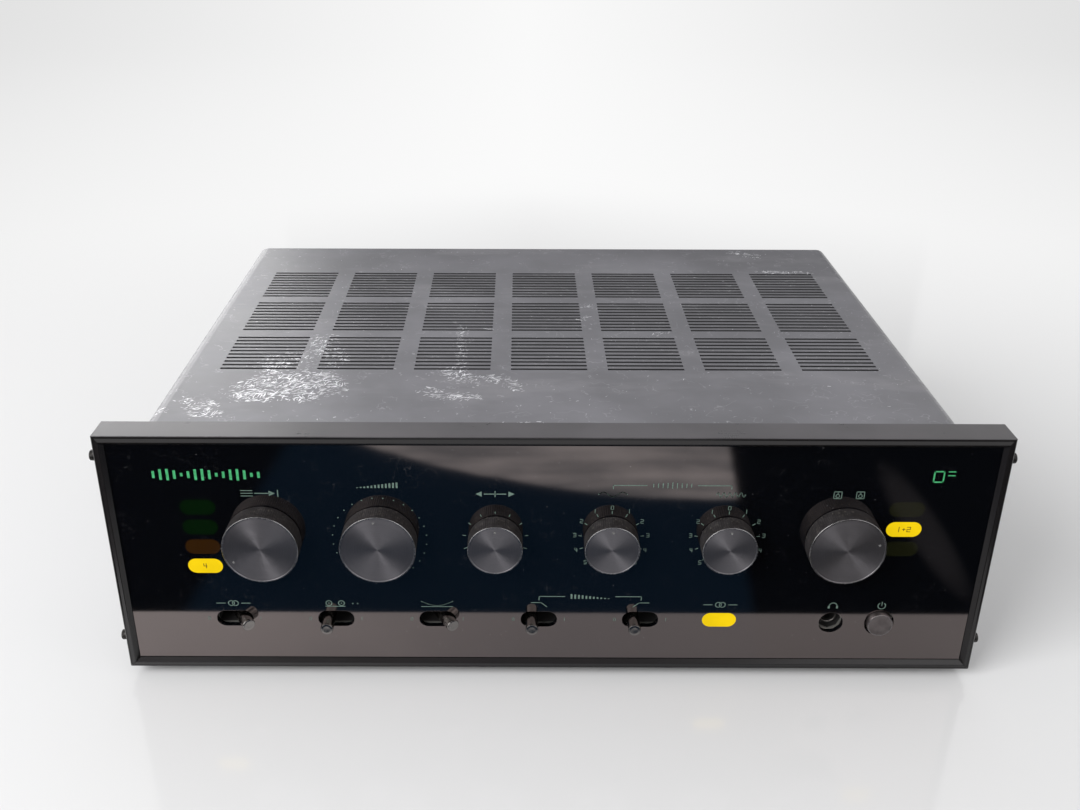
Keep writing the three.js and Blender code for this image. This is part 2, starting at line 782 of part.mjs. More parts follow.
// Headphone jack: its bushing stands in a well behind the holes of the plate and the panel
const phones_front = plate_recess + phones_bushing_recess;
const phones_well_floor = phones_front + phones_well_depth;
const phones_bore_end = phones_front + phones_bore_length;
const phones_case_y = [behind_panel, phones_bore_end + phones_case_wall];
const phones_bore_y = [phones_front - cut_overrun, phones_bore_end];
const phones_bore = solid(rod_on_y(phones_bore_radius, phones_bore_y, 0, 0, body_sides));
const phones_well = solid(rod_on_y(phones_well_radius, [behind_panel - cut_overrun, phones_well_floor], 0, 0,
  body_sides));
const phones_side = around(0, phones_case_width);
const phones_case = joined([
  solid(block(phones_side, phones_case_y, phones_side)).subtract(phones_well),
  solid(rod_on_y(phones_bushing_radius, [phones_front, phones_well_floor + cut_overrun], 0, 0, body_sides)),
]).subtract(phones_bore);
add('headphone_jack', phones_case, 'bright_chrome', [phones_x, 0, jack_row]);

// Cover: folded sheet with the vent slots cut through its top
const cover_height = cover_top - tray_ground;
const cover_shell = solid(extruded_back(
  channel_outline(cover_width, cover_height, cover_steel, cover_fold_radius),
  [cover_front, cover_rear],
));
const vent_slots = [];
const vent_through = [cover_height - cover_steel - cut_overrun, cover_height + cut_overrun];
for (const x of centred_row(vent_columns, vent_column_pitch)) {
  for (let row = 0; row < vent_rows; row += 1) {
    for (let slot = 0; slot < vent_slots_per_block; slot += 1) {
      const front = cover_front + vent_front_margin + row * vent_row_pitch + slot * vent_slot_pitch;
      vent_slots.push(block(around(x, vent_slot_length), [front, front + vent_slot_width], vent_through));
    }
  }
}
const top_cover = cover_shell.subtract(solid(mergeGeometries(vent_slots)));
add('top_cover', top_cover, 'cover_paint', [0, 0, tray_ground]);

// Base tray, folded up at its sides and front, with cooling slots below the boards and the transformer
const tray_y = [tray_front, rear_inside - fit_gap];
const tray_channel = extruded_back(
  channel_outline(inner_width, tray_wall_height, tray_steel, tray_fold_radius), tray_y,
);
tray_channel.rotateY(2 * quarter_turn);
tray_channel.translate(0, 0, tray_ground + tray_wall_height);
const tray_lip = block(around(0, inner_width - 2 * tray_fold_radius), [tray_front, tray_front + tray_steel],
  [tray_ground, tray_ground + tray_wall_height / 2]);
const tray_slots = [core_x, power_board_x].flatMap((x) => (
  centred_row(tray_slots_per_group, tray_slot_pitch).map((step) => block(
    around(x + step, tray_slot_width),
    around(power_board_y, tray_slot_length),
    [tray_ground - cut_overrun, tray_top + cut_overrun],
  ))
));
add('base_tray', joined([solid(tray_channel), solid(tray_lip)]).subtract(solid(mergeGeometries(tray_slots))),
  'zinc_steel');

// Feet
const foot_height = tray_ground - fit_gap;
const foot_profile = [
  [0, foot_recess_depth],
  [foot_recess_radius, foot_recess_depth],
  [foot_recess_radius, 0],
  [foot_radius - foot_taper - foot_ease, 0],
  [foot_radius - foot_taper, foot_ease],
  [foot_radius, foot_height],
  [0, foot_height],
];
const foot = solid(turned_on_z(foot_profile, body_sides));
const foot_x = cover_width / 2 - foot_side_distance;
const foot_rows = [['front', cover_front + foot_front_distance], ['rear', cover_rear - foot_rear_distance]];
for (const [row, y] of foot_rows) {
  for (const [side, sign] of [['left', -1], ['right', 1]]) {
    add(`foot_${row}_${side}`, foot, 'black_rubber', [sign * foot_x, y, 0]);
  }
}

// Rear panel with the openings for what it carries
const jack_block_width = (jack_columns - 1) * jack_pitch;
const jack_block_height = (jack_rows - 1) * jack_pitch;
const terminal_block_width = (terminal_columns - 1) * terminal_pitch;
const terminal_block_height = (terminal_rows - 1) * terminal_pitch;
const inlet_body_width = inlet_recess_width + 2 * inlet_wall;
const inlet_body_height = inlet_recess_height + 2 * inlet_wall;
const rear_holes = [
  rectangle(around(jack_block_x, jack_block_width + jack_plate_margin),
    around(rear_row, jack_block_height + jack_plate_margin)),
  rectangle(around(terminal_block_x, terminal_block_width + terminal_plate_margin),
    around(rear_row, terminal_block_height + terminal_plate_margin)),
  rectangle(around(inlet_x, inlet_body_width + 2 * fit_gap),
    around(rear_row, inlet_body_height + 2 * fit_gap)),
];
const rear_drillings = [
  [fuse_x, rear_row, fuse_body_radius + 2 * fit_gap],
  [post_x, rear_row, post_stud_radius + 2 * fit_gap],
];
const rear_z = [tray_ground, cover_ceiling - fit_gap];
const rear_sheet = pierced_sheet(rectangle(around(0, inner_width), rear_z), [rear_inside, rear_face],
  rear_holes, rear_drillings);
const rear_shelf_half = inner_width / 2 - cover_fold_radius;
const rear_shelf = solid(block(around(0, 2 * rear_shelf_half), [rear_inside - rear_shelf_depth, rear_face],
  [rear_z[1] - rear_steel, rear_z[1]]));
const corner_cut = cover_fold_radius - cover_steel;
const rear_corners = [-1, 1].map((side) => solid(block(
  around(side * inner_width / 2, 2 * corner_cut),
  [rear_inside - cut_overrun, rear_face + cut_overrun],
  [rear_z[1] - corner_cut, rear_z[1] + cut_overrun],
)));
add('rear_panel', joined([rear_sheet, rear_shelf]).subtract(joined(rear_corners)), 'zinc_steel');

// Input jacks in two rows on their insulating plate
function jack_sleeve(x, z) {
  const [back, front] = [on_rear, on_rear + jack_plate_thickness + jack_length];
  const sleeve = turned_on_y([
    [0, back],
    [jack_radius, back],
    [jack_radius, front],
    [jack_bore_radius, front],
    [jack_bore_radius, front - jack_bore_depth],
    [0, front - jack_bore_depth],
  ], hidden_sides);
  sleeve.translate(x, 0, z);
  return solid(sleeve);
}

const jack_bodies = [solid(block(
  around(jack_block_x, jack_block_width + 2 * jack_plate_margin),
  [on_rear, on_rear + jack_plate_thickness],
  around(rear_row, jack_block_height + 2 * jack_plate_margin),
))];
for (const x of centred_row(jack_columns, jack_pitch)) {
  for (const z of centred_row(jack_rows, jack_pitch)) {
    jack_bodies.push(jack_sleeve(jack_block_x + x, rear_row + z));
  }
}
add('input_jack_panel', joined(jack_bodies), 'phenolic');

// Speaker terminals: screw caps on a moulded plate
const terminal_bodies = [solid(block(
  around(terminal_block_x, terminal_block_width + 2 * terminal_plate_margin),
  [on_rear, on_rear + terminal_plate_thickness],
  around(rear_row, terminal_block_height + 2 * terminal_plate_margin),
))];
const terminal_cap_y = [on_rear, on_rear + terminal_plate_thickness + terminal_cap_length];
for (const x of centred_row(terminal_columns, terminal_pitch)) {
  for (const z of centred_row(terminal_rows, terminal_pitch)) {
    const cap = rod_on_y(terminal_cap_radius, terminal_cap_y, terminal_block_x + x, rear_row + z);
    terminal_bodies.push(solid(cap));
  }
}
add('speaker_terminals', joined(terminal_bodies), 'black_plastic');

// Earth post, fuse holder and mains inlet
add('earth_post', joined([
  solid(rod_on_y(post_stud_radius, [rear_inside - rear_steel, on_rear + post_cap_length], post_x, rear_row)),
  solid(rod_on_y(post_cap_radius, [on_rear, on_rear + post_cap_length], post_x, rear_row)),
]), 'bright_chrome');
add('fuse_holder', joined([
  solid(rod_on_y(fuse_body_radius, [rear_inside - fuse_body_length, on_rear + fuse_cap_length],
    fuse_x, rear_row)),
  solid(rod_on_y(fuse_cap_radius, [on_rear, on_rear + fuse_cap_length], fuse_x, rear_row, body_sides)),
]), 'black_plastic');

const inlet_front = on_rear + inlet_flange_thickness;
const inlet_floor = inlet_front - inlet_recess_depth;
const inlet_shell = joined([
  solid(block(around(0, inlet_flange_width), [on_rear, inlet_front], around(0, inlet_flange_height))),
  solid(block(around(0, inlet_body_width), [inlet_floor - inlet_wall, on_rear + inlet_flange_thickness / 2],
    around(0, inlet_body_height))),
]).subtract(solid(block(around(0, inlet_recess_width), [inlet_floor, inlet_front + cut_overrun],
  around(0, inlet_recess_height))));
const inlet_pins = [-1, 1].map((side) => solid(rod_on_y(inlet_pin_radius,
  [inlet_floor - inlet_wall / 2, inlet_floor + inlet_pin_length], side * inlet_pin_pitch / 2, 0)));
add('mains_inlet', joined([inlet_shell, ...inlet_pins]), 'black_plastic', [inlet_x, 0, rear_row]);

// Transformer: laminated core with two windows, and the winding round its middle leg
const core_z = [on_tray, on_tray + core_height];
const core_window_width = (core_width - 4 * core_leg) / 2;
const core_window_z = [core_z[0] + core_leg, core_z[1] - core_leg];
const core_windows = [-1, 1].map((side) => {
  const x = core_x + side * (core_leg + core_window_width / 2);
  return rectangle(around(x, core_window_width), core_window_z);
});
const core_y_range = around(core_y, core_stack);
const core_feet = block(around(core_x, core_width), around(core_y, core_stack + 2 * core_foot_width),
  [on_tray, on_tray + core_foot_thickness]);
add('transformer_core', joined([
  pierced_sheet(rectangle(around(core_x, core_width), core_z), core_y_range, core_windows),
  solid(core_feet),
]), 'core_iron');
const winding_z = [core_window_z[0] + fit_gap, core_window_z[1] - fit_gap];
const winding_reach = 2 * (core_leg + core_window_width - fit_gap);
const winding_outer = block(around(core_x, winding_reach), around(core_y, core_stack + 2 * winding_overhang),
  winding_z);
const winding_room = block(
  around(core_x, 2 * (core_leg + fit_gap)),
  around(core_y, core_stack + 2 * fit_gap),
  [winding_z[0] - cut_overrun, winding_z[1] + cut_overrun],
);
add('transformer_winding', solid(winding_outer).subtract(solid(winding_room)), 'winding_tape');

// Reservoir capacitors, each with a rolled bead and eased rim
const bead_low = capacitor_bead_rise;
const bead_high = capacitor_bead_rise + capacitor_bead_width;
const capacitor_profile = [
  [0, 0],
  [capacitor_radius, 0],
  [capacitor_radius, bead_low],
  [capacitor_radius - capacitor_bead_depth, (bead_low + bead_high) / 2],
  [capacitor_radius, bead_high],
  [capacitor_radius, capacitor_height - capacitor_rim_ease],
  [capacitor_radius - capacitor_rim_ease, capacitor_height],
  [0, capacitor_height],
];
const capacitor = solid(turned_on_z(capacitor_profile, body_sides));
['capacitor_front', 'capacitor_rear'].forEach((name, i) => {
  add(name, capacitor, 'capacitor_sleeve', [capacitor_x, capacitor_y + i * capacitor_pitch, on_tray]);
});

// Power amplifier board on its standoffs, and the preamplifier board behind the potentiometers
const board_x_range = around(power_board_x, power_board_width);
const board_y_range = around(power_board_y, power_board_depth);
const board_low = on_tray + standoff_height;
const standoffs = [board_x_range[0] + standoff_inset, board_x_range[1] - standoff_inset].flatMap((x) => (
  [board_y_range[0] + standoff_inset, board_y_range[1] - standoff_inset].map((y) => (
    solid(rod_on_z(standoff_radius, [on_tray, board_low + board_thickness / 2], x, y))
  ))
));
add('power_amplifier_board', joined([
  solid(block(board_x_range, board_y_range, [board_low, board_low + board_thickness])),
  ...standoffs,
]), 'board_brown');
const preamp_front = behind_panel + pot_depth + fit_gap;
add('preamplifier_board', solid(block(
  [knob_places[1] - preamp_board_overhang, knob_places[4] + preamp_board_overhang],
  [preamp_front, preamp_front + board_thickness],
  around(knob_row, preamp_board_height),
)), 'board_brown');

// Heat sink: a base with tapered fins that point back, standing on the tray
function sink_outline() {
  const fin_pitch = (sink_width - sink_fin_root) / (sink_fins - 1);
  const points = [[sink_width / 2, 0], [sink_width / 2, sink_base]];
  for (let fin = sink_fins - 1; fin >= 0; fin -= 1) {
    const x = fin * fin_pitch + sink_fin_root / 2 - sink_width / 2;
    points.push([x + sink_fin_root / 2, sink_base], [x + sink_fin_tip / 2, sink_depth]);
    points.push([x - sink_fin_tip / 2, sink_depth], [x - sink_fin_root / 2, sink_base]);
  }
  points.push([-sink_width / 2, 0]);
  const unique = points.filter(([x, y], i) => i === 0 || x !== points[i - 1][0] || y !== points[i - 1][1]);
  return new THREE.Shape(unique.map(([x, y]) => new THREE.Vector2(x, y)));
}

const sink_geometry = new THREE.ExtrudeGeometry(sink_outline(), { depth: sink_height, bevelEnabled: false });
add('heat_sink', solid(sink_geometry), 'raw_aluminium', [sink_x, sink_y, on_tray]);

export default amplifier;
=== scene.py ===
import json
import math

import bmesh
import bpy
from bpy.props import FloatProperty, FloatVectorProperty, IntProperty, PointerProperty
from mathutils import Matrix, Vector


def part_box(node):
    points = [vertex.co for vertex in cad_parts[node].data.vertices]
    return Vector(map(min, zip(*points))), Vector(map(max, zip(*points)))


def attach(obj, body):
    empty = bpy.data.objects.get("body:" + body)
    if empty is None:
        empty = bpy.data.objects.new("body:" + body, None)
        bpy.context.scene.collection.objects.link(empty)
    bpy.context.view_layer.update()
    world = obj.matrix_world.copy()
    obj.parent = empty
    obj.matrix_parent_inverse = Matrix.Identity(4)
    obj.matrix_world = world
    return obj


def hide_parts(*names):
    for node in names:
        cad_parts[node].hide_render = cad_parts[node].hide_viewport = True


bl_info = {
    "name": "Integrated amplifier",
    "version": (1, 0, 0),
    "blender": (4, 5, 0),
    "location": "View3D > Sidebar > Amplifier",
    "description": "Finished pieces, finishes and a photo stage for the amplifier's CAD frame",
    "category": "Object",
}

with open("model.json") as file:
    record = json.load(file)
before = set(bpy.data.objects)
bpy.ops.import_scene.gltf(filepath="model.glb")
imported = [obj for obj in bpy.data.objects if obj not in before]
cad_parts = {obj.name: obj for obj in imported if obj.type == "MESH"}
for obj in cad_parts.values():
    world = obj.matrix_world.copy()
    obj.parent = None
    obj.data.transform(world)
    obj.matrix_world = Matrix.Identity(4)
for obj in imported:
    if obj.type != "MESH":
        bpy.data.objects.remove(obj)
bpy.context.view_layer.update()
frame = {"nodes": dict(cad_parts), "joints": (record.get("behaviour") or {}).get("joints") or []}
MM = 0.001
CONTROLS = ("selector", "volume", "balance", "bass", "treble", "speaker")
LARGE_CONTROLS = ("selector", "volume", "speaker")
LEVERS = tuple(f"lever_{number}" for number in range(1, 6))
THROWN_LEVERS = ("lever_1", "lever_3")
LIT_ROWS = {"input_lens_bar": 3, "speaker_lens_bar": 1, "stereo_lens": 0}
SIDES = ("left", "right")
AXES = {
    "X": (Vector((1, 0, 0)), Vector((0, 1, 0)), Vector((0, 0, 1))),
    "Y": (Vector((0, 1, 0)), Vector((1, 0, 0)), Vector((0, 0, 1))),
    "Z": (Vector((0, 0, 1)), Vector((1, 0, 0)), Vector((0, 1, 0))),
}

# Sizes in millimetres that more than one piece takes
WINDOW = (17.5, 8.5)
WINDOW_PITCH = 11.4
WINDOW_MARGIN = 6.25
LEVER_SLOT = (18.6, 9.4)
LEVER_PIN_OFFSET = 3.6
MARK_GAP = 0.03
THIN_LINE = 0.4


def box_of(node):
    """A CAD node's lowest corner, highest corner and middle in millimetres."""
    low, high = (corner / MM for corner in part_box(node))
    return low, high, (low + high) / 2


def joint_place(name):
    """Where a joint turns, in millimetres."""
    return next(Vector(joint["pos_m"]) / MM for joint in frame["joints"] if joint["name"] == name)


PLATE_FACE = box_of("front_plate")[0].y
COVER_TOP = box_of("top_cover")[1].z
KNOB_ROW = joint_place("volume_turn").z
LEVER_ROW = joint_place("lever_1_swing").z
JACK_MIDDLE = box_of("headphone_jack")[2]
BUTTON_MIDDLE = box_of("power_button")[2]
KNOB_X = {name: joint_place(f"{name}_turn").x for name in CONTROLS}
SLOT_X = [joint_place(f"{lever}_swing").x + LEVER_PIN_OFFSET for lever in LEVERS]


def colour_setting(name, default, description):
    return FloatVectorProperty(name=name, description=description, default=default, size=3, subtype="COLOR")


def length_setting(name, default, description):
    return FloatProperty(name=name, description=description, default=default, unit="LENGTH")


def power_setting(name, default, description):
    return FloatProperty(name=name, description=description, default=default, unit="POWER", min=0)


class StageSettings(bpy.types.PropertyGroup):
    """Camera, floor and light."""

    focal_length: FloatProperty(name="Focal length", description="Lens on a 36 mm wide sensor",
                                default=37.68, unit="CAMERA")
    floor_colour: colour_setting("Floor", (0.8, 0.8, 0.805), "Colour of the floor")
    sky_strength: FloatProperty(name="Ambient light", description="Strength of the soft light from all round",
                                default=0.62, min=0)
    key_power: power_setting("Key light", 72, "Power of the large light on the left")
    sheen_power: power_setting("Sheen light", 9, "Power of the light behind on the left")
    glint_power: power_setting("Glint light", 2, "Power of the light in front on the right")
    backdrop: FloatProperty(name="Backdrop", description="Brightness of the backdrop, where 1 is white",
                            default=0.97, min=0, max=1)
    dark_card_gap: length_setting("Dark card gap", 0.0545,
                                  "Bare floor between the front plate and the dark card that it mirrors")
    dark_card_colour: colour_setting("Dark card", (0.009, 0.026, 0.052), "Colour of the dark card's middle")


class FinishSettings(bpy.types.PropertyGroup):
    """Colours of the finishes."""

    enamel: colour_setting("Cover enamel", (0.132, 0.13, 0.144), "Satin enamel of the folded cover")
    anodised: colour_setting("Frame", (0.0085, 0.0075, 0.008), "Black anodised frame")
    acrylic: colour_setting("Front plate", (0.0015, 0.002, 0.003), "Smoked acrylic")
    knob: colour_setting("Knobs", (0.23, 0.218, 0.232), "Dark anodised knobs")
    chrome: colour_setting("Levers", (0.27, 0.253, 0.242), "Bright plating")
    lit: colour_setting("Lit windows", (0.86, 0.615, 0.002), "Lamp light through the lit windows")
    print_ink: colour_setting("Print", (0.13, 0.2, 0.165), "Ink of the marks on the front plate")


class KnobSettings(bpy.types.PropertyGroup):
    """Sizes of the knobs."""

    large_radius: length_setting("Large radius", 0.0188, "Radius of the selector, volume and speaker knobs")
    small_radius: length_setting("Small radius", 0.0136, "Radius of the balance, bass and treble knobs")
    rim: length_setting("Bright rim", 0.00045, "Width of the bright cut round the face")
    rib_pitch: length_setting("Rib pitch", 0.0011, "Distance between the ribs round the side")
    rib_depth: length_setting("Rib depth", 0.0002, "Depth of the grooves between the ribs")


class PrintSettings(bpy.types.PropertyGroup):
    """Sizes of the marks on the front plate."""

    line: length_setting("Line", 0.0005, "Width of the printed lines")
    numeral: length_setting("Numeral height", 0.0021, "Height of the numerals on the tone dials")
    volume_dots: IntProperty(name="Volume dots", description="Dots round the volume knob", default=24, min=2)


class RearSettings(bpy.types.PropertyGroup):
    """Sizes of the connectors at the rear."""

    jack_radius: length_setting("Jack radius", 0.0041, "Outer radius of an input jack's sleeve")
    cap_radius: length_setting("Terminal cap radius", 0.0049, "Radius of a speaker terminal's cap")
    columns: IntProperty(name="Columns", description="Columns of jacks, and of terminals", default=4, min=1)
    jack_pitch: length_setting("Jack pitch", 0.014, "Distance between two input jacks")
    terminal_pitch: length_setting("Terminal pitch", 0.017, "Distance between two speaker terminals")


# Shader expressions

def feed(tree, node, values):
    """Links fields to a node's sockets, and sets plain values on them."""
    for name, value in values.items():
        if isinstance(value, Field):
            tree.links.new(value.socket, node.inputs[name])
        else:
            node.inputs[name].default_value = value


class Field:
    """A shader socket that takes part in Python arithmetic. Each expression adds its nodes."""

    def __init__(self, tree, socket=None):
        self.tree = tree
        self.socket = socket

    def node(self, kind, settings=None, sockets=None, output=0):
        """Adds a node of another type: first its settings, then the values or links of its sockets."""
        made = self.tree.nodes.new("ShaderNode" + kind)
        for name, value in (settings or {}).items():
            setattr(made, name, value)
        feed(self.tree, made, sockets or {})
        return Field(self.tree, made.outputs[output])

    def maths(self, operation, *values):
        """A Math node, or a Vector Math node where one of the values is a vector."""
        fields = [value for value in values if isinstance(value, Field)]
        if all(value.socket.type == "VALUE" for value in fields):
            return self.node("Math", {"operation": operation}, dict(enumerate(values)))
        spread = [value if isinstance(value, (Field, tuple)) else (value,) * 3 for value in values]
        return self.node("VectorMath", {"operation": operation}, dict(enumerate(spread)))

    def __add__(self, other):
        return self.maths("ADD", self, other)

    def __radd__(self, other):
        return self.maths("ADD", other, self)

    def __sub__(self, other):
        return self.maths("SUBTRACT", self, other)

    def __rsub__(self, other):
        return self.maths("SUBTRACT", other, self)

    def __mul__(self, other):
        return self.maths("MULTIPLY", self, other)

    def __rmul__(self, other):
        return self.maths("MULTIPLY", other, self)

    def __truediv__(self, other):
        return self.maths("DIVIDE", self, other)

    def __rtruediv__(self, other):
        return self.maths("DIVIDE", other, self)

    def __pow__(self, other):
        return self.maths("POWER", self, other)

    def __rpow__(self, other):
        return self.maths("POWER", other, self)

    def __mod__(self, other):
        return self.maths("FLOORED_MODULO", self, other)

    def __rmod__(self, other):
        return self.maths("FLOORED_MODULO", other, self)

    def __gt__(self, other):
        return self.maths("GREATER_THAN", self, other)

    def __lt__(self, other):
        return self.maths("LESS_THAN", self, other)

    def __abs__(self):
        return self.maths("ABSOLUTE", self)

    def split(self):
        parts = self.node("SeparateXYZ", sockets={0: self})
        return [Field(self.tree, output) for output in parts.socket.node.outputs]

    def rise(self, low, high):
        """0 below low, 1 above high, and smooth between them."""
        return self.node("MapRange", {"interpolation_type": "SMOOTHSTEP"},
                         {"Value": self, "From Min": low, "From Max": high})

    def between(self, low, high, soft=0.1):
        return self.rise(low, low + soft) * (1 - self.rise(high - soft, high))

    def blend(self, first, second):
        """From the first colour at 0 to the second at 1."""
        def colour(value):
            return value if isinstance(value, Field) else (*value, 1)
        return self.node("Mix", {"data_type": "RGBA"}, {0: self, 6: colour(first), 7: colour(second)}, 2)

    def noise(self, scale, detail=2.0, roughness=0.5, stretch=(1, 1, 1)):
        """Noise of so many waves per millimetre, stretched along the axes with a small number."""
        place = self * tuple(scale * part for part in stretch)
        return self.node("TexNoise", sockets={"Vector": place, "Scale": 1.0, "Detail": detail,
                                              "Roughness": roughness})

    def strokes(self, angle, length, width, bend=0):
        """Noise drawn out into short strokes at an angle to the X axis, which may bend."""
        x, y, z = self.split()
        cos, sin = math.cos(math.radians(angle)), math.sin(math.radians(angle))
        sway = self.noise(0.06, 1) * bend
        along, across = (x * cos + y * sin) * (1 / length), (y * cos - x * sin + sway) * (1 / width)
        drawn = self.node("CombineXYZ", sockets={0: along, 1: across, 2: z * (1 / length)})
        return drawn.noise(1, 1)

    def specks(self, scale, radius, share):
        """Small round specks, on a share of the cells of a grid with so many cells per millimetre."""
        near = self.node("TexVoronoi", sockets={"Vector": self * scale, "Scale": 1.0})
        chance = self.node("TexVoronoi", sockets={"Vector": self * scale, "Scale": 1.0}, output=1)
        return (1 - near.rise(radius / 2, radius)) * (chance.split()[0] < share)

    def bump(self, depth):
        """A normal from a height between 0 and 1, that stands for so many millimetres."""
        return self.node("Bump", sockets={"Height": self, "Distance": depth * MM, "Strength": 1.0})


def scribbles(mm, scale, width, stretch=(1, 1, 1)):
    """Thin wandering lines, as scratches leave them."""
    lines = 1 - abs(mm.noise(scale, 3, 0.6, stretch) - 0.5).rise(width / 2, width)
    return lines * mm.noise(scale * 1.7, 2).rise(0.48, 0.56)


def stroke_mask(x, y, start, end, width):
    """1 along the line from start to end, which fades over its width."""
    length = math.dist(start, end)
    dx, dy = (end[0] - start[0]) / length, (end[1] - start[1]) / length
    along = (x - start[0]) * dx + (y - start[1]) * dy
    across = (y - start[1]) * dx - (x - start[0]) * dy
    return along.between(-width / 2, length + width / 2, width) * (1 - abs(across).rise(width * 0.2, width))


def patch(x, y, centre, reach):
    """1 in the middle of an ellipse and 0 at its edge."""
    across, along = (x - centre[0]) / reach[0], (y - centre[1]) / reach[1]
    return 1 - (across * across + along * along).rise(0.15, 1)


made_finishes = {}


def finish(recipe):
    """The material of a recipe, made on first use."""
    if recipe.__name__ in made_finishes:
        return made_finishes[recipe.__name__]
    material = bpy.data.materials.new(recipe.__name__)
    material.use_nodes = True
    tree = material.node_tree
    mm = Field(tree).node("TexCoord", output="Object") * (1 / MM)
    feed(tree, tree.nodes["Principled BSDF"], recipe(mm, bpy.context.scene.amplifier_finishes))
    made_finishes[recipe.__name__] = material
    return material


def rays_of(tree):
    """1 where a camera ray, a mirrored ray or a ray through glass looks, else 0."""
    return [Field(tree).node("LightPath", output=f"Is {kind} Ray") for kind in ("Camera", "Glossy", "Transmission")]


def tint(colour, share):
    return tuple(part * share for part in colour)


def mottled(mm, waves, first, second, roughness, depth, skin=None, span=None, metallic=0):
    """A plain finish. One noise takes the colour from the first to the second, over its given span, and adds to the
    roughness. The skin's noise, or else the same one, gives a relief of so many millimetres."""
    cloud = mm.noise(*waves)
    return {
        "Base Color": (cloud.rise(*span) if span else cloud).blend(first, second),
        "Roughness": roughness[0] + cloud * roughness[1],
        "Metallic": metallic,
        "Normal": (mm.noise(*skin) if skin else cloud).bump(depth),
    }


def spun_rings(mm, waves, detail):
    """Fine rings round the piece's own Z axis, with so many waves per millimetre."""
    x, y, _ = mm.split()
    radius = (x * x + y * y) ** 0.5
    return radius.node("TexNoise", {"noise_dimensions": "1D"}, {"W": radius * waves, "Scale": 1.0, "Detail": detail})


# Finishes

POLISHED_ACRYLIC = {"IOR": 2.5, "Specular Tint": (1, 0.85, 0.82, 1)}


def cover_enamel(mm, colours):
    """Satin enamel, smudged, rubbed at the folds and scratched through in places. The rubbed folds also carry a
    painted highlight, painted shade darkens the slot walls and the vent blocks, and a painted dark reflection lies
    across the rear.
    """
    x, y, z = mm.split()
    cloud = mm.noise(0.012, 4, 0.6)
    smear = mm.noise(0.03, 4, 0.7, (0.35, 1, 1))
    grain = mm.noise(1.6, 2)
    worn_patches = (
        ((-170, -92), (-104, -84), 22), ((-162, -97), (-122, -99), 9), ((-160, -72), (-116, -76), 24),
        ((-192, -98), (-174, -122), 9), ((-177, -103), (-166, -121), 8), ((-202, -107), (-195, -119), 8),
        ((-160, -55), (-132, -40), 18), ((-134, -12), (-112, -58), 15),
        ((-70, -86), (-50, -98), 10), ((-52, -98), (-34, -96), 8), ((-30, -68), (-13, -91), 11),
        ((-50, 4), (-48, -74), 7), ((-37, -6), (-33, -2), 7), ((-64, -62), (-34, -80), 14),
        ((20, 34), (31, 37), 5), ((17, 12), (31, 18), 5), ((62, -12), (73, -4), 5),
        ((132, 146), (152, 132), 11), ((142, 102), (181, 99), 6), ((-40, -137), (5, -137), 5),
        ((-42, -130), (-2, -127), 5),
    )
    worn_through = sum((stroke_mask(x, y, *places) for places in worn_patches[1:]),
                       stroke_mask(x, y, *worn_patches[0])).rise(0, 1.3)
    marks = mm.strokes(8, 5.5, 0.75, 14)
    for angle in (38, -24, 74):
        marks = marks.maths("MAXIMUM", marks, mm.strokes(angle, 4.5, 0.7, 10))
    fine = scribbles(mm, 0.05, 0.006) * 0.3
    bare = (marks + worn_through * 0.155 + mm.noise(0.11, 2) * 0.12).rise(0.857, 0.888) + fine * 0.4
    # Rubbed folds, paled toward bare metal: partly real wear and partly a painted highlight along the fold edges.
    folds = abs(x).rise(196.5, 201.5) * (z - COVER_TOP + 9).rise(0, 3) * mm.noise(0.25, 3).rise(0.3, 0.6)
    worn = bare + folds * 0.35
    # Painted shade: the walls of the slots, just under the top, are painted nearly black.
    painted_slot_shade = (z < COVER_TOP - 0.1) * (z > COVER_TOP - 1.5) * (abs(x) < 190) * (abs(y - 10) < 130)
    column_pitch, row_pitch, first_row, block_length = 52.93, 56.9, -62.45, 46.4
    bars = (abs((x / column_pitch + 0.5) % 1 - 0.5) < 0.39) * ((y - first_row) % row_pitch < block_length)
    blocks = bars * (abs(y - 17.6) < 80) * (abs(x) < 181) * (z > COVER_TOP - 1.5)
    # Painted shade over the vent blocks, deeper toward the rear, and a painted dark reflection across the rear of the
    # cover.
    painted_shade_and_reflection = blocks * (y.rise(-80, 90) * 0.35 + 0.12) + y.rise(60, 150) * 0.2
    cloudy = cloud.rise(0.3, 0.72).blend(tint(colours.enamel, 0.8), tint(colours.enamel, 1.3))
    paint = painted_shade_and_reflection.blend(cloudy, tint(colours.enamel, 0.1))
    dusty = (smear.rise(0.5, 0.74) * 0.4).blend(paint, (0.24, 0.235, 0.25))
    return {
        "Base Color": painted_slot_shade.blend(worn.blend(dusty, (0.8, 0.8, 0.83)), tint(colours.enamel, 0.1)),
        "Roughness": 0.27 + cloud * 0.16 + smear * 0.1 - worn * 0.1 + painted_slot_shade * 0.3,
        "Metallic": worn * 0.4,
        "Specular IOR Level": 0.55,
        "Normal": (grain * 0.6 - worn * 0.6).bump(0.05),
    }


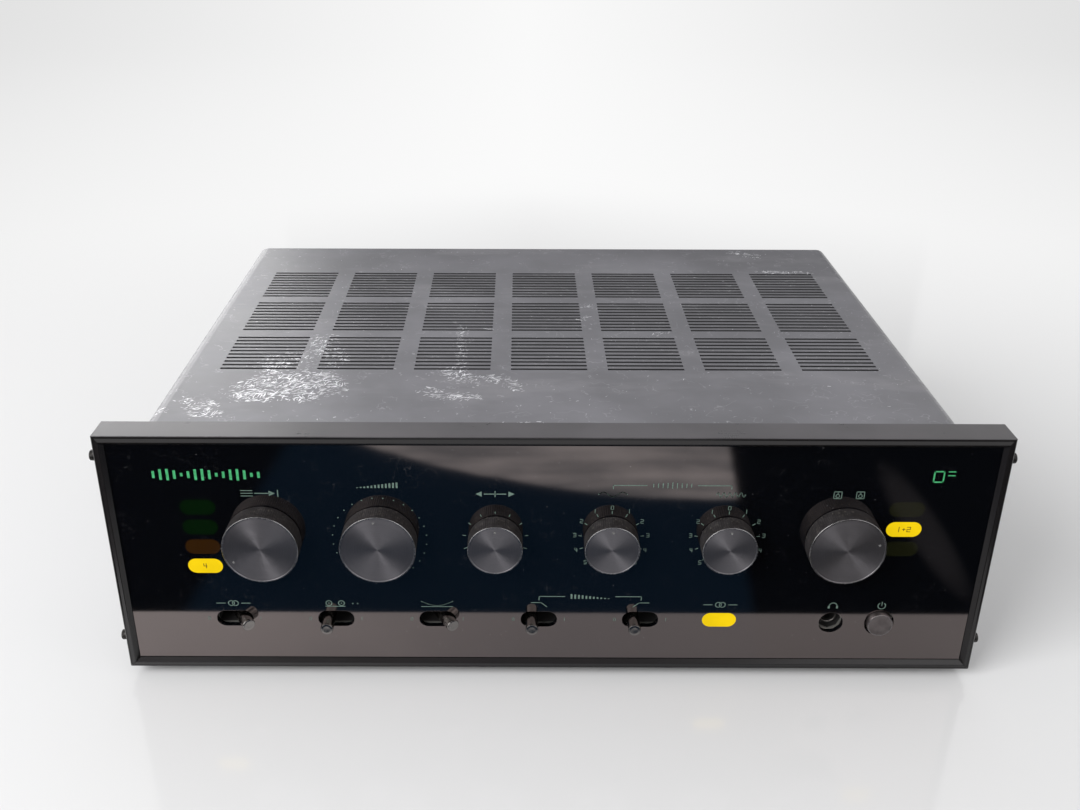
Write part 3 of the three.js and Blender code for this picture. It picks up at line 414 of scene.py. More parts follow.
def frame_anodised(mm, colours):
    """Brown-black anodised aluminium with a drawn grain and rubbed edges. Its top is lightened with dust and painted
    sheen.
    """
    x, _, z = mm.split()
    grain = mm.noise(1.8, 3, 0.6, (0.02, 1, 1)) * 0.5 + mm.noise(1.8, 3, 0.6, (1, 1, 0.02)) * 0.5
    rubbed = abs(x).rise(219.2, 220) * mm.noise(0.2, 3).rise(0.45, 0.7)
    # Dust and painted sheen: the top face is lightened toward pale grey, partly for dust and partly for the bright
    # reflection along the top.
    dust = (z > 141.7) * (mm.noise(0.03, 3).rise(0.25, 0.75) * 0.5 + 0.5)
    tone = grain.rise(0.35, 0.65).blend(tint(colours.anodised, 0.85), tint(colours.anodised, 1.2))
    return {
        "Base Color": (rubbed * 0.4).blend((dust * 0.55).blend(tone, (0.13, 0.12, 0.13)), (0.16, 0.145, 0.14)),
        "Roughness": 0.14 + grain * 0.08 + mm.noise(0.06, 3) * 0.08 + dust * 0.12,
        "IOR": 1.46,
        "Normal": grain.bump(0.012),
    }


def smoked_acrylic(mm, colours):
    """Polished smoked acrylic: a near-black mirror with dust and hairlines."""
    haze = mm.noise(0.02, 3, 0.6)
    hair = scribbles(mm, 0.05, 0.0012)
    dust = mm.specks(0.35, 0.07, 0.16)
    return {
        "Base Color": (dust * 0.7 + hair * 0.12).blend(colours.acrylic, (0.3, 0.3, 0.31)),
        "Roughness": 0.045 + haze * 0.03 + dust * 0.3 + hair * 0.1,
        **POLISHED_ACRYLIC,
        "Normal": mm.noise(0.02, 1).bump(0.03),
    }


def zinc_plate(mm, colours):
    """Zinc-plated steel with a faint spangle and handling marks."""
    spangle = mm.node("TexVoronoi", sockets={"Vector": mm * 0.35, "Scale": 1.0}, output=1).split()[0]
    smear = mm.noise(0.03, 4, 0.6)
    tone = (spangle * 0.35 + smear * 0.65).blend((0.34, 0.34, 0.33), (0.56, 0.55, 0.51))
    return {
        "Base Color": tone,
        "Roughness": 0.34 + smear * 0.2 + spangle * 0.05,
        "Metallic": 0.9,
        "Normal": mm.noise(2.0, 2).bump(0.01),
    }


def rear_enamel(mm, colours):
    """Black enamel on the rear panel, with a fine orange-peel skin."""
    cloud = mm.noise(0.03, 4, 0.6)
    peel = mm.noise(0.9, 2)
    dust = mm.specks(0.3, 0.08, 0.12)
    return {
        "Base Color": (dust * 0.5 + cloud * 0.2).blend((0.02, 0.02, 0.022), (0.1, 0.1, 0.1)),
        "Roughness": 0.42 + cloud * 0.2,
        "Normal": peel.bump(0.03),
    }


def knob_side(mm, colours):
    """Dark satin anodising between the ribs, rubbed on their crests."""
    cloud = mm.noise(0.2, 4, 0.7)
    tone = cloud.rise(0.3, 0.75).blend(tint(colours.knob, 0.06), tint(colours.knob, 0.16))
    return {
        "Base Color": (mm.noise(0.9, 3).rise(0.56, 0.72) * 0.45).blend(tone, (0.2, 0.185, 0.16)),
        "Roughness": 0.4 + cloud * 0.18,
        "Metallic": 0.15,
        "Specular IOR Level": 0.3,
        "Normal": mm.noise(3.0, 2).bump(0.02),
    }


def knob_face(mm, colours):
    """Spun face: fine rings round the middle, which stretch each highlight into a wedge."""
    rings = spun_rings(mm, 5.0, 3.0)
    smear = mm.noise(0.15, 3, 0.6)
    tone = rings.rise(0.3, 0.7).blend(tint(colours.knob, 0.8), tint(colours.knob, 1.15))
    return {
        "Base Color": (smear.rise(0.55, 0.8) * 0.15).blend(tone, (0.3, 0.29, 0.3)),
        "Roughness": 0.3 + smear * 0.1,
        "Metallic": 0.9,
        "Anisotropic": 0.85,
        "Anisotropic Rotation": 0.25,
        "Normal": (rings * 0.7 + spun_rings(mm, 0.9, 1.0) * 0.3).bump(0.02),
    }


def bright_cut(mm, colours):
    """Diamond-cut bright aluminium on a knob's rim."""
    return mottled(mm, (1.2, 3), (0.34, 0.33, 0.34), (0.5, 0.49, 0.49), (0.2, 0.14), 0.01, metallic=1.0)


def index_paint(mm, colours):
    """Pale paint in the index dot."""
    return mottled(mm, (2.0, 3), (0.09, 0.09, 0.09), (0.2, 0.2, 0.19), (0.5, 0.2), 0.03)


def lever_chrome(mm, colours):
    """Bright plating with finger smears and a few pits."""
    smear = mm.noise(0.25, 4, 0.7)
    pits = mm.specks(1.1, 0.1, 0.2)
    return {
        "Base Color": pits.blend(colours.chrome, (0.25, 0.22, 0.2)),
        "Roughness": 0.17 + smear.rise(0.45, 0.8) * 0.14 + pits * 0.3,
        "Metallic": 1.0,
        "Normal": (smear * 0.4 - pits).bump(0.01),
    }


def button_face(mm, colours):
    """Spun aluminium of the power button, dull and a little warm."""
    smear = mm.noise(0.3, 3)
    return {
        "Base Color": smear.blend((0.17, 0.15, 0.15), (0.3, 0.265, 0.262)),
        "Roughness": 0.26 + smear * 0.14,
        "Metallic": 0.95,
        "Anisotropic": 0.7,
        "Anisotropic Rotation": 0.25,
        "Normal": spun_rings(mm, 5.0, 3.0).bump(0.02),
    }


def drawn_aluminium(mm, colours):
    """Extruded aluminium as drawn, with long die lines."""
    lines = mm.noise(1.4, 3, 0.6, (1, 1, 0.03))
    stain = mm.noise(0.05, 4, 0.6)
    return {
        "Base Color": stain.blend((0.42, 0.43, 0.44), (0.62, 0.63, 0.63)),
        "Roughness": 0.38 + lines * 0.15,
        "Metallic": 0.95,
        "Normal": lines.bump(0.03),
    }


def dim_window(mm, colours):
    """A window whose lamp is out, as glossy as the plate round it: green and one orange on the left, olive on the
    right. It has a faint painted glow in its own colour."""
    x, _, z = mm.split()
    grain = mm.noise(0.3, 3)
    half_pitch = WINDOW_PITCH / 2
    orange = (abs(z - KNOB_ROW + half_pitch) < half_pitch) * (x < 0)
    green = (x < 0).blend((0.004, 0.0045, 0.0015), (0.0006, 0.0045, 0.0008))
    hue = orange.blend(green, (0.014, 0.0055, 0.001))
    return {
        "Base Color": hue,
        "Roughness": 0.05 + grain * 0.06,
        **POLISHED_ACRYLIC,
        # Painted glow: the unlit window glows faintly in its own colour.
        "Emission Color": hue,
        "Emission Strength": 1.0,
        "Normal": grain.bump(0.02),
    }


def lit_window(mm, colours):
    """A window with its lamp on, a little uneven."""
    lamp = mm.noise(0.09, 2)
    grain = mm.noise(0.5, 3)
    return {
        "Base Color": grain.blend((0.1, 0.055, 0.002), (0.13, 0.075, 0.003)),
        "Roughness": 0.3 + grain * 0.1,
        "Specular IOR Level": 0.06,
        "Emission Color": lamp.rise(0.3, 0.75).blend(tint(colours.lit, 0.86), colours.lit),
        "Emission Strength": 1.0,
        "Normal": grain.bump(0.02),
    }


def printed_ink(mm, colours):
    """Screen-printed ink, a little uneven."""
    return mottled(mm, (1.5, 3), tint(colours.print_ink, 0.75), tint(colours.print_ink, 1.2), (0.4, 0.2), 0.01,
                   span=(0.3, 0.7))


def green_ink(mm, colours):
    """The brighter green ink of the two small signs."""
    return mottled(mm, (1.2, 3), (0.03, 0.3, 0.1), (0.06, 0.46, 0.18), (0.4, 0.2), 0.01, span=(0.3, 0.7))


def dark_ink(mm, colours):
    """The dark numerals on the lit windows."""
    return mottled(mm, (2.0, 3), (0.05, 0.025, 0.0), (0.12, 0.06, 0.0), (0.4, 0.2), 0.01)


def black_moulding(mm, colours):
    """Black moulded plastic with a fine spark-eroded texture."""
    return mottled(mm, (0.15, 3), (0.012, 0.012, 0.013), (0.03, 0.029, 0.028), (0.42, 0.16), 0.03, skin=(2.2, 2))


def red_moulding(mm, colours):
    """Red moulded plastic of the positive terminals."""
    return mottled(mm, (0.25, 3), (0.25, 0.01, 0.008), (0.4, 0.02, 0.014), (0.32, 0.16), 0.02, skin=(2.2, 2))


def white_moulding(mm, colours):
    """Off-white insulation in the input jacks."""
    return mottled(mm, (0.4, 3), (0.5, 0.47, 0.4), (0.66, 0.63, 0.56), (0.4, 0.16), 0.02, skin=(2.2, 2))


def foot_rubber(mm, colours):
    """Black rubber with dust in its skin."""
    return mottled(mm, (0.5, 4, 0.7), (0.012, 0.012, 0.012), (0.06, 0.058, 0.055), (0.72, 0.2), 0.06, skin=(1.6, 3),
                   span=(0.45, 0.8))


def core_iron(mm, colours):
    """Varnished laminations, seen as thin lines along the stack."""
    sheet = (mm.split()[1] * 2.0) % 1.0
    line = abs(sheet - 0.5).rise(0.3, 0.5)
    stain = mm.noise(0.12, 4, 0.6)
    return {
        "Base Color": (line * 0.6).blend(stain.blend((0.1, 0.085, 0.07), (0.2, 0.17, 0.14)), (0.03, 0.026, 0.022)),
        "Roughness": 0.4 + stain * 0.25,
        "Metallic": 0.4,
        "Normal": (line * -1).bump(0.12),
    }


def winding_tape(mm, colours):
    """Yellow tape over the winding, with its overlaps."""
    x, _, z = mm.split()
    lap = ((z + x * 0.12) / 9.0) % 1.0
    edge = lap.rise(0.93, 1.0)
    stain = mm.noise(0.2, 4)
    return {
        "Base Color": edge.blend(stain.blend((0.42, 0.27, 0.05), (0.56, 0.4, 0.1)), (0.25, 0.15, 0.03)),
        "Roughness": 0.36 + stain * 0.2,
        "Normal": (lap + stain * 0.3).bump(0.2),
    }


def capacitor_sleeve(mm, colours):
    """Blue shrunk sleeve with a pale polarity stripe."""
    x, y, _ = mm.split()
    wrinkle = mm.noise(0.5, 3, 0.5, (1, 1, 0.2))
    stripe = (x < -6) * (abs(y) < 5)
    return {
        "Base Color": stripe.blend(wrinkle.blend((0.012, 0.05, 0.2), (0.02, 0.08, 0.28)), (0.5, 0.52, 0.55)),
        "Roughness": 0.28 + wrinkle * 0.18,
        "Normal": wrinkle.bump(0.08),
    }


def can_top(mm, colours):
    """Bare aluminium top of a capacitor."""
    return mottled(mm, (0.4, 3), (0.45, 0.45, 0.45), (0.66, 0.66, 0.66), (0.32, 0.2), 0.03, metallic=0.95)


def circuit_board(mm, colours):
    """Brown phenolic-paper board with mottling and copper tracks showing through."""
    mottle = mm.noise(0.4, 4, 0.7)
    track = ((mm.noise(0.05, 1) * 9.0) % 1.0).between(0.3, 0.6)
    base = mottle.blend((0.2, 0.1, 0.035), (0.3, 0.17, 0.06))
    return {
        "Base Color": (track * 0.35).blend(base, (0.12, 0.07, 0.03)),
        "Roughness": 0.45 + mottle * 0.2,
        "Normal": (track * 0.6 + mottle * 0.4).bump(0.04),
    }


def phenolic_plate(mm, colours):
    """Dark brown phenolic-paper plate under the input jacks."""
    return mottled(mm, (0.5, 4, 0.7), (0.05, 0.025, 0.012), (0.1, 0.05, 0.025), (0.35, 0.2), 0.03)


def screw_steel(mm, colours):
    """Blackened steel, worn on the heads."""
    return mottled(mm, (0.8, 3), (0.03, 0.028, 0.027), (0.16, 0.155, 0.15), (0.3, 0.2), 0.03, span=(0.5, 0.8),
                   metallic=0.85)


# Forms in millimetres, in the row frame or about a piece's own place

def turned(form, profile, sides, at=(0, 0, 0), axis="Y", tags=(), ripple=None):
    """Turns a profile of (radius, distance along the axis) points. tags gives each step of the profile its
    finish, and ripple(point, step) adds to the radius."""
    along, across, up = AXES[axis]
    start = Vector(at)
    rings = []
    for point, (radius, distance) in enumerate(profile):
        centre = start + along * distance
        if radius == 0:
            rings.append([form.verts.new(centre)])
            continue
        ring = []
        for step in range(sides):
            angle = step * math.tau / sides
            reach = radius + (ripple(point, step) if ripple else 0)
            ring.append(form.verts.new(centre + (across * math.sin(angle) + up * math.cos(angle)) * reach))
        rings.append(ring)
    for index, (near, far) in enumerate(zip(rings, rings[1:])):
        for step in range(sides):
            ahead = step + 1
            corners = (near[step % len(near)], near[ahead % len(near)], far[ahead % len(far)], far[step % len(far)])
            corners = list(dict.fromkeys(corners))
            if len(corners) > 2:
                face = form.faces.new(corners)
                face.material_index = tags[index] if tags else 0


def ribs(depth, *points):
    """The ripple of a ribbed side, so many millimetres deep at the given points of its profile. Each rib takes four
    steps."""
    return lambda point, step: -depth * (1, 0.5, 0, 0.5)[step % 4] if point in points else 0


def eased_block(form, x, y, z, ease=0.3, tag=0):
    """A block between the given extents with eased edges."""
    made = bmesh.ops.create_cube(form, size=1.0)["verts"]
    for vertex in made:
        vertex.co = Vector([low + (part + 0.5) * (high - low) for part, (low, high) in zip(vertex.co, (x, y, z))])
    edges = list({edge for vertex in made for edge in vertex.link_edges})
    eased = bmesh.ops.bevel(form, geom=edges, offset=ease, segments=2, profile=0.5, affect="EDGES")
    for face in {face for vertex in made if vertex.is_valid for face in vertex.link_faces} | set(eased["faces"]):
        face.material_index = tag


def around(centre, size):
    return centre - size / 2, centre + size / 2


def circle(x, z, radius, steps=48):
    return [(x + radius * math.cos(step * math.tau / steps), z + radius * math.sin(step * math.tau / steps))
            for step in range(steps)]


def stadium(x, z, width, height, steps=16):
    radius = height / 2
    reach = width / 2 - radius
    ends = []
    for side, first in ((1, -math.pi / 2), (-1, math.pi / 2)):
        for step in range(steps + 1):
            angle = first + step * math.pi / steps
            ends.append((x + side * reach + radius * math.cos(angle), z + radius * math.sin(angle)))
    return ends


def rectangle(x, z):
    return [(x[0], z[0]), (x[1], z[0]), (x[1], z[1]), (x[0], z[1])]


def pierced_plate(form, outlines, y, ease, flush=()):
    """A plate between two depths: the first outline is its edge, and the others are holes. Their front edges are
    eased, and those of the flush holes stay sharp."""
    edges, sharp = [], set()
    for index, outline in enumerate([*outlines, *flush]):
        ring = [form.verts.new((x, y[0], z)) for x, z in outline]
        edges += [form.edges.new((ring[i - 1], ring[i])) for i in range(len(ring))]
        if index >= len(outlines):
            sharp.update(ring)
    filled = bmesh.ops.triangle_fill(form, use_beauty=True, edges=edges)["geom"]
    face_side = [item for item in filled if isinstance(item, bmesh.types.BMFace)]
    pushed = bmesh.ops.extrude_face_region(form, geom=face_side)["geom"]
    back = [item for item in pushed if isinstance(item, bmesh.types.BMVert)]
    bmesh.ops.translate(form, verts=back, vec=(0, y[1] - y[0], 0))
    bmesh.ops.recalc_face_normals(form, faces=form.faces)
    if ease:
        front_edges = [edge for edge in form.edges
                       if all(abs(vertex.co.y - y[0]) < 1e-4 and vertex not in sharp for vertex in edge.verts)
                       and edge.calc_face_angle(0) > 1]
        bmesh.ops.bevel(form, geom=front_edges, offset=ease, segments=2, profile=0.5, affect="EDGES")


def place_mesh(name, form, body, finishes, at, turn, crease):
    bmesh.ops.scale(form, vec=(MM, MM, MM), verts=form.verts)
    mesh = bpy.data.meshes.new(name)
    form.to_mesh(mesh)
    form.free()
    mesh.set_sharp_from_angle(angle=math.radians(crease))
    for face in mesh.polygons:
        face.use_smooth = max(abs(part) for part in face.normal) < 0.999999
    for recipe in finishes:
        mesh.materials.append(finish(recipe))
    made = bpy.data.objects.new(name, mesh)
    made.location = Vector(at) * MM
    made.rotation_euler = turn
    bpy.context.scene.collection.objects.link(made)
    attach(made, body)
    return made


def facing_front(angle=0):
    """The turn that brings a piece's own Z axis to the front, with its Y axis so many degrees clockwise of up."""
    return (Matrix.Rotation(math.radians(angle), 3, "Y") @ Matrix.Rotation(math.radians(90), 3, "X")).to_euler()


def piece(name, form, body, slot, *finishes, replaces=(), at=(0, 0, 0), turn=(0, 0, 0), crease=35):
    """A finished piece from its form: it rides on its body and may stand for CAD nodes."""
    bmesh.ops.recalc_face_normals(form, faces=form.faces)
    made = place_mesh(name, form, body, finishes, at, turn, crease)
    if replaces:
        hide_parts(*replaces)


def paint_nodes(recipe, *nodes, ease=0):
    """Gives CAD nodes a finish, and eased edges where asked."""
    for node in nodes:
        body = frame["nodes"][node]
        body.data.materials.clear()
        body.data.materials.append(finish(recipe))
        if ease:
            bevel = body.modifiers.new("eased edges", "BEVEL")
            bevel.width = ease * MM
            bevel.segments = 2
            bevel.limit_method = "ANGLE"
            bevel.angle_limit = math.radians(40)
            bevel.harden_normals = True


# Pieces

class AMPLIFIER_OT_stage(bpy.types.Operator):
    """Set up the camera, the pale floor, the soft lights and the dark card that the plate mirrors"""

    bl_idname = "amplifier.stage"
    bl_label = "Stage"

    camera_place = (-0.01667, -0.62565, 0.38842)
    yaw, pitch, roll = (math.radians(angle) for angle in (-0.118, 25.459, 0.134))
    lens_shift = (0.02185, -0.00472)
    sweep_start, sweep_radius = 1.9, 0.9

    def execute(self, context):
        settings = context.scene.amplifier_stage
        self.camera(settings)
        self.floor(settings)
        self.gloss_cards()
        self.lights(settings)
        self.sky(settings)
        context.scene.view_settings.view_transform = "Standard"
        return {"FINISHED"}

    def camera(self, settings):
        lens = bpy.data.cameras.new("camera")
        lens.sensor_width = 36
        lens.lens = settings.focal_length
        lens.shift_x, lens.shift_y = self.lens_shift
        lens.clip_start = 0.01
        sin, cos = math.sin, math.cos
        ahead = Vector((sin(self.yaw) * cos(self.pitch), cos(self.yaw) * cos(self.pitch), -sin(self.pitch)))
        level = Vector((cos(self.yaw), -sin(self.yaw), 0))
        above = level.cross(ahead)
        right = cos(self.roll) * level + sin(self.roll) * above
        up = -sin(self.roll) * level + cos(self.roll) * above
        camera = bpy.data.objects.new("camera", lens)
        turn = Matrix((right, up, -ahead)).transposed().to_4x4()
        camera.matrix_world = Matrix.Translation(self.camera_place) @ turn
        bpy.context.scene.collection.objects.link(camera)
        bpy.context.scene.camera = camera

    def stage_piece(self, name, form):
        """An object of the stage, with its own material's node tree and shader."""
        mesh = bpy.data.meshes.new(name)
        form.to_mesh(mesh)
        form.free()
        material = bpy.data.materials.new(name)
        material.use_nodes = True
        mesh.materials.append(material)
        made = bpy.data.objects.new(name, mesh)
        bpy.context.scene.collection.objects.link(made)
        return made, material.node_tree, material.node_tree.nodes["Principled BSDF"]

    def floor(self, settings):
        """A floor swept up into the backdrop. It turns to the backdrop's tone far off, with painted shade toward the
        sides, and mirrored rays see the dark card in it."""
        form = bmesh.new()
        start, radius = self.sweep_start, self.sweep_radius
        sweep = [(-4.0, 0.0), (start, 0.0)]
        sweep += [(start + radius * math.sin(angle), radius - radius * math.cos(angle))
                  for angle in (step * math.pi / 24 for step in range(1, 13))]
        sweep.append((start + radius, 3.5))
        left, right = ([form.verts.new((x, y, z)) for y, z in sweep] for x in (-4.5, 4.5))
        for index in range(len(sweep) - 1):
            form.faces.new((left[index], right[index], right[index + 1], left[index + 1]))
        floor, tree, shader = self.stage_piece("floor", form)
        floor.data.shade_smooth()
        feed(tree, shader, {"Base Color": (*settings.floor_colour, 1), "Roughness": 0.1, "Specular IOR Level": 0.62})
        place = Field(tree).node("TexCoord", output="Object")
        x, y, _ = place.split()
        camera, glossy, through = rays_of(tree)
        distance = (x * x + y * y) ** 0.5
        # Painted shade on the backdrop: it is darker toward the sides, and less so far off.
        corner = (abs(x) * 0.62 + y * 0.06).rise(-0.1, 1.2)
        backdrop = (settings.backdrop,) * 3
        tone = (corner * (1 - distance.rise(2.5, 4))).blend(backdrop, tint(backdrop, 0.76))
        ends = (y + abs(x) * 0.5).rise(0.15, 0.95) + distance.rise(1.4, 3.6)
        far = (camera + glossy + through) * ends.maths("MINIMUM", ends, 1)
        plate = PLATE_FACE * MM
        card_edge = plate - settings.dark_card_gap
        shade = (x + place.noise(20, 3) * 0.08).rise(-0.16, 0.06) * 0.36
        mirrored = glossy * (abs(x) < 1.2) * (
            (y < card_edge) * (y > card_edge - 1.5) + (y > card_edge) * (y < plate) * shade)
        surface = Field(tree, shader.outputs[0])
        for share, shown in ((far, tone), (mirrored, self.dark_card(place * (1 / MM), settings))):
            glow = place.node("Emission", sockets={"Color": shown})
            surface = surface.node("MixShader", sockets={0: share, 1: surface, 2: glow})
        feed(tree, tree.nodes["Material Output"], {"Surface": surface})

    def dark_card(self, mm, settings):
        """What the plate mirrors of the floor in front: a dark card, blue in its middle, with folded cloth on it."""
        x, y, _ = mm.split()
        left_edge, right_edge = (y + 205) * -0.097 - 208.7, (y + 207) * -0.085 + 118.6
        middle = (x - left_edge).rise(-5, 8) * (1 - (x - right_edge).rise(-5, 5))
        cloth_edge = ((x - 120) / 100) ** 2 * -12.5 - 331
        cloth = (1 - (y + mm.noise(0.02, 2) * 8 - 4 - cloth_edge).rise(-3, 3)) * (1 - (x - right_edge - 2).rise(-2, 3))
        folds = mm.noise(0.02, 4, 0.6, (0.5, 2.4, 1)).rise(0.25, 0.8)
        tone = middle.blend((0.003, 0.003, 0.004), settings.dark_card_colour)
        tone = (cloth * (x + 165).rise(0, 40)).blend(tone, folds.blend((0.24, 0.27, 0.29), (1, 1, 1)))
        streak = patch(x, y, (245, -300), (16, 95))
        return (streak * 0.08).blend(tone, (0.6, 0.62, 0.65))

    def gloss_card(self, name, corners, paint):
        """A card that only reflections see."""
        form = bmesh.new()
        form.faces.new([form.verts.new(corner) for corner in corners])
        card, tree, shader = self.stage_piece(name, form)
        mm = Field(tree).node("TexCoord", output="Object") * (1 / MM)
        feed(tree, shader, {"Base Color": (0, 0, 0, 1), "Specular IOR Level": 0, "Emission Strength": 1,
                            "Emission Color": paint(mm)})
        card.visible_camera = card.visible_diffuse = card.visible_shadow = card.visible_transmission = False

    def gloss_cards(self):
        """A grey card behind, which keeps the cover's sheen to the left, and a dark ceiling."""
        def grey(mm):
            height = (mm.split()[2] + mm.noise(0.002, 2) * 160).rise(540, 760)
            return height.blend((0.05, 0.05, 0.055), (0.92, 0.92, 0.95))

        def dark(mm):
            return mm.noise(0.002, 2).blend((0.16, 0.15, 0.155), (0.4, 0.38, 0.385))

        behind, above = 1.4, 1.9
        self.gloss_card("grey card", [(x, behind, z) for x, z in rectangle((-0.45, 0.75), (0.2, 1.7))], grey)
        self.gloss_card("dark ceiling", [(x, y, above) for x, y in rectangle((-1.5, 1.8), (-2.2, 0.9))], dark)

    def lights(self, settings):
        """One lamp lights the surfaces. The others give gloss alone, and none on the floor."""
        key_place, key_size = (-1.84, -1.6, 1.57), (1.76, 1.44)
        lamps = (
            ("key light", settings.key_power, key_place, key_size, True),
            ("key gloss", settings.key_power, key_place, key_size, False),
            ("sheen light", settings.sheen_power, (-0.95, 1.5, 0.62), (1.0, 0.7), False),
            ("glint light", settings.glint_power, (0.75, -0.9, 1.1), (0.8, 0.6), False),
        )
        but_the_floor = bpy.data.collections.new("but the floor")
        but_the_floor.objects.link(bpy.data.objects["floor"])
        but_the_floor.collection_objects[0].light_linking.link_state = "EXCLUDE"
        for name, power, place, size, spreads in lamps:
            lamp = bpy.data.lights.new(name, "AREA")
            lamp.shape = "RECTANGLE"
            lamp.size, lamp.size_y = size
            lamp.energy = power
            light = bpy.data.objects.new(name, lamp)
            light.location = place
            light.visible_camera = False
            light.visible_diffuse = spreads
            light.visible_glossy = not spreads
            if not spreads:
                light.light_linking.receiver_collection = but_the_floor
            light.rotation_euler = (Vector((0, 0, 0.07)) - Vector(place)).to_track_quat("-Z", "Y").to_euler()
            bpy.context.scene.collection.objects.link(light)

    def sky(self, settings):
        """A white sky that lights softly and is seen at full strength."""
        world = bpy.data.worlds.new("soft sky")
        world.use_nodes = True
        tree = world.node_tree
        camera, glossy, through = rays_of(tree)
        seen = camera + glossy + through
        strength = seen.maths("MINIMUM", seen, 1) * (1 - settings.sky_strength) + settings.sky_strength
        feed(tree, tree.nodes["Background"], {"Strength": strength, "Color": (1, 1, 1, 1)})
        bpy.context.scene.world = world


def inward_from(side):
    """The turn that points a piece's own X axis inward from a side of the cabinet."""
    return 0, 0, 0 if side == "left" else math.pi


def windows_of(node):
    """The window centres of a lens bar, from the top down."""
    low, high, middle = box_of(node)
    count = round((high.z - low.z - 2 * WINDOW_MARGIN) / WINDOW_PITCH) + 1
    return [(middle.x, high.z - WINDOW_MARGIN - row * WINDOW_PITCH) for row in range(count)]


class AMPLIFIER_OT_frame(bpy.types.Operator):
    """Finish the mitred frame and turn the screws in its sides"""

    bl_idname = "amplifier.frame"
    bl_label = "Frame"

    def execute(self, context):
        paint_nodes(frame_anodised, "frame_top", "frame_bottom", "frame_left", "frame_right", ease=0.18)
        for node in (f"frame_screw_{side}_{level}" for side in SIDES for level in ("upper", "lower")):
            low, high, middle = box_of(node)
            side = "left" if middle.x < 0 else "right"
            length = high.x - low.x
            form = bmesh.new()
            profile = [(0, 0.9), (0.9, 0.9), (1.1, 0), (1.6, 0.04), (2.2, 0.18), (2.6, 0.5), (2.72, 1.0),
                       (2.72, 4.6), (2.5, 4.7), (1.45, 4.7), (1.45, length), (0, length)]
            turned(form, profile, 32, axis="X")
            piece(f"{node}_head", form, "chassis", "lever_chrome", screw_steel, replaces=[node],
                  at=(low.x if side == "left" else high.x, middle.y, middle.z), turn=inward_from(side))
        return {"FINISHED"}


class AMPLIFIER_OT_front_plate(bpy.types.Operator):
    """Cut the smoked plate with smooth slots and holes, and finish the steel panel behind it"""

    bl_idname = "amplifier.front_plate"
    bl_label = "Front plate"

    shaft_hole, jack_hole, button_hole = 8.0, 6.15, 7.5
    eased_edge = 0.15

    def execute(self, context):
        low, high, _ = box_of("front_plate")
        openings = [rectangle((low.x, high.x), (low.z, high.z))]
        openings += [stadium(x, LEVER_ROW, *LEVER_SLOT) for x in SLOT_X]
        openings.append(circle(JACK_MIDDLE.x, JACK_MIDDLE.z, self.jack_hole))
        openings.append(circle(BUTTON_MIDDLE.x, JACK_MIDDLE.z, self.button_hole))
        openings += [circle(x, KNOB_ROW, self.shaft_hole) for x in KNOB_X.values()]
        flush = [stadium(x, z, *WINDOW) for node in LIT_ROWS for x, z in windows_of(node)]
        form = bmesh.new()
        pierced_plate(form, openings, (low.y, high.y), self.eased_edge, flush)
        piece("smoked_plate", form, "chassis", "smoked_plate", smoked_acrylic, replaces=["front_plate"], crease=25)
        paint_nodes(zinc_plate, "front_panel")
        return {"FINISHED"}


class AMPLIFIER_OT_windows(bpy.types.Operator):
    """Mould the lens bars with their window bosses and light three of the windows"""

    bl_idname = "amplifier.windows"
    bl_label = "Windows"

    def execute(self, context):
        for node, lit_row in LIT_ROWS.items():
            low, high, _ = box_of(node)
            form = bmesh.new()
            eased_block(form, (low.x, high.x), (high.y - 2, high.y), (low.z, high.z))
            for row, (x, z) in enumerate(windows_of(node)):
                made_before = set(form.faces)
                pierced_plate(form, [stadium(x, z, *WINDOW)], (low.y, high.y - 1.5), 0)
                for face in set(form.faces) - made_before:
                    face.material_index = int(row == lit_row)
            piece(f"{node}_moulding", form, "chassis", "window_lens", dim_window, lit_window, replaces=[node])
        return {"FINISHED"}


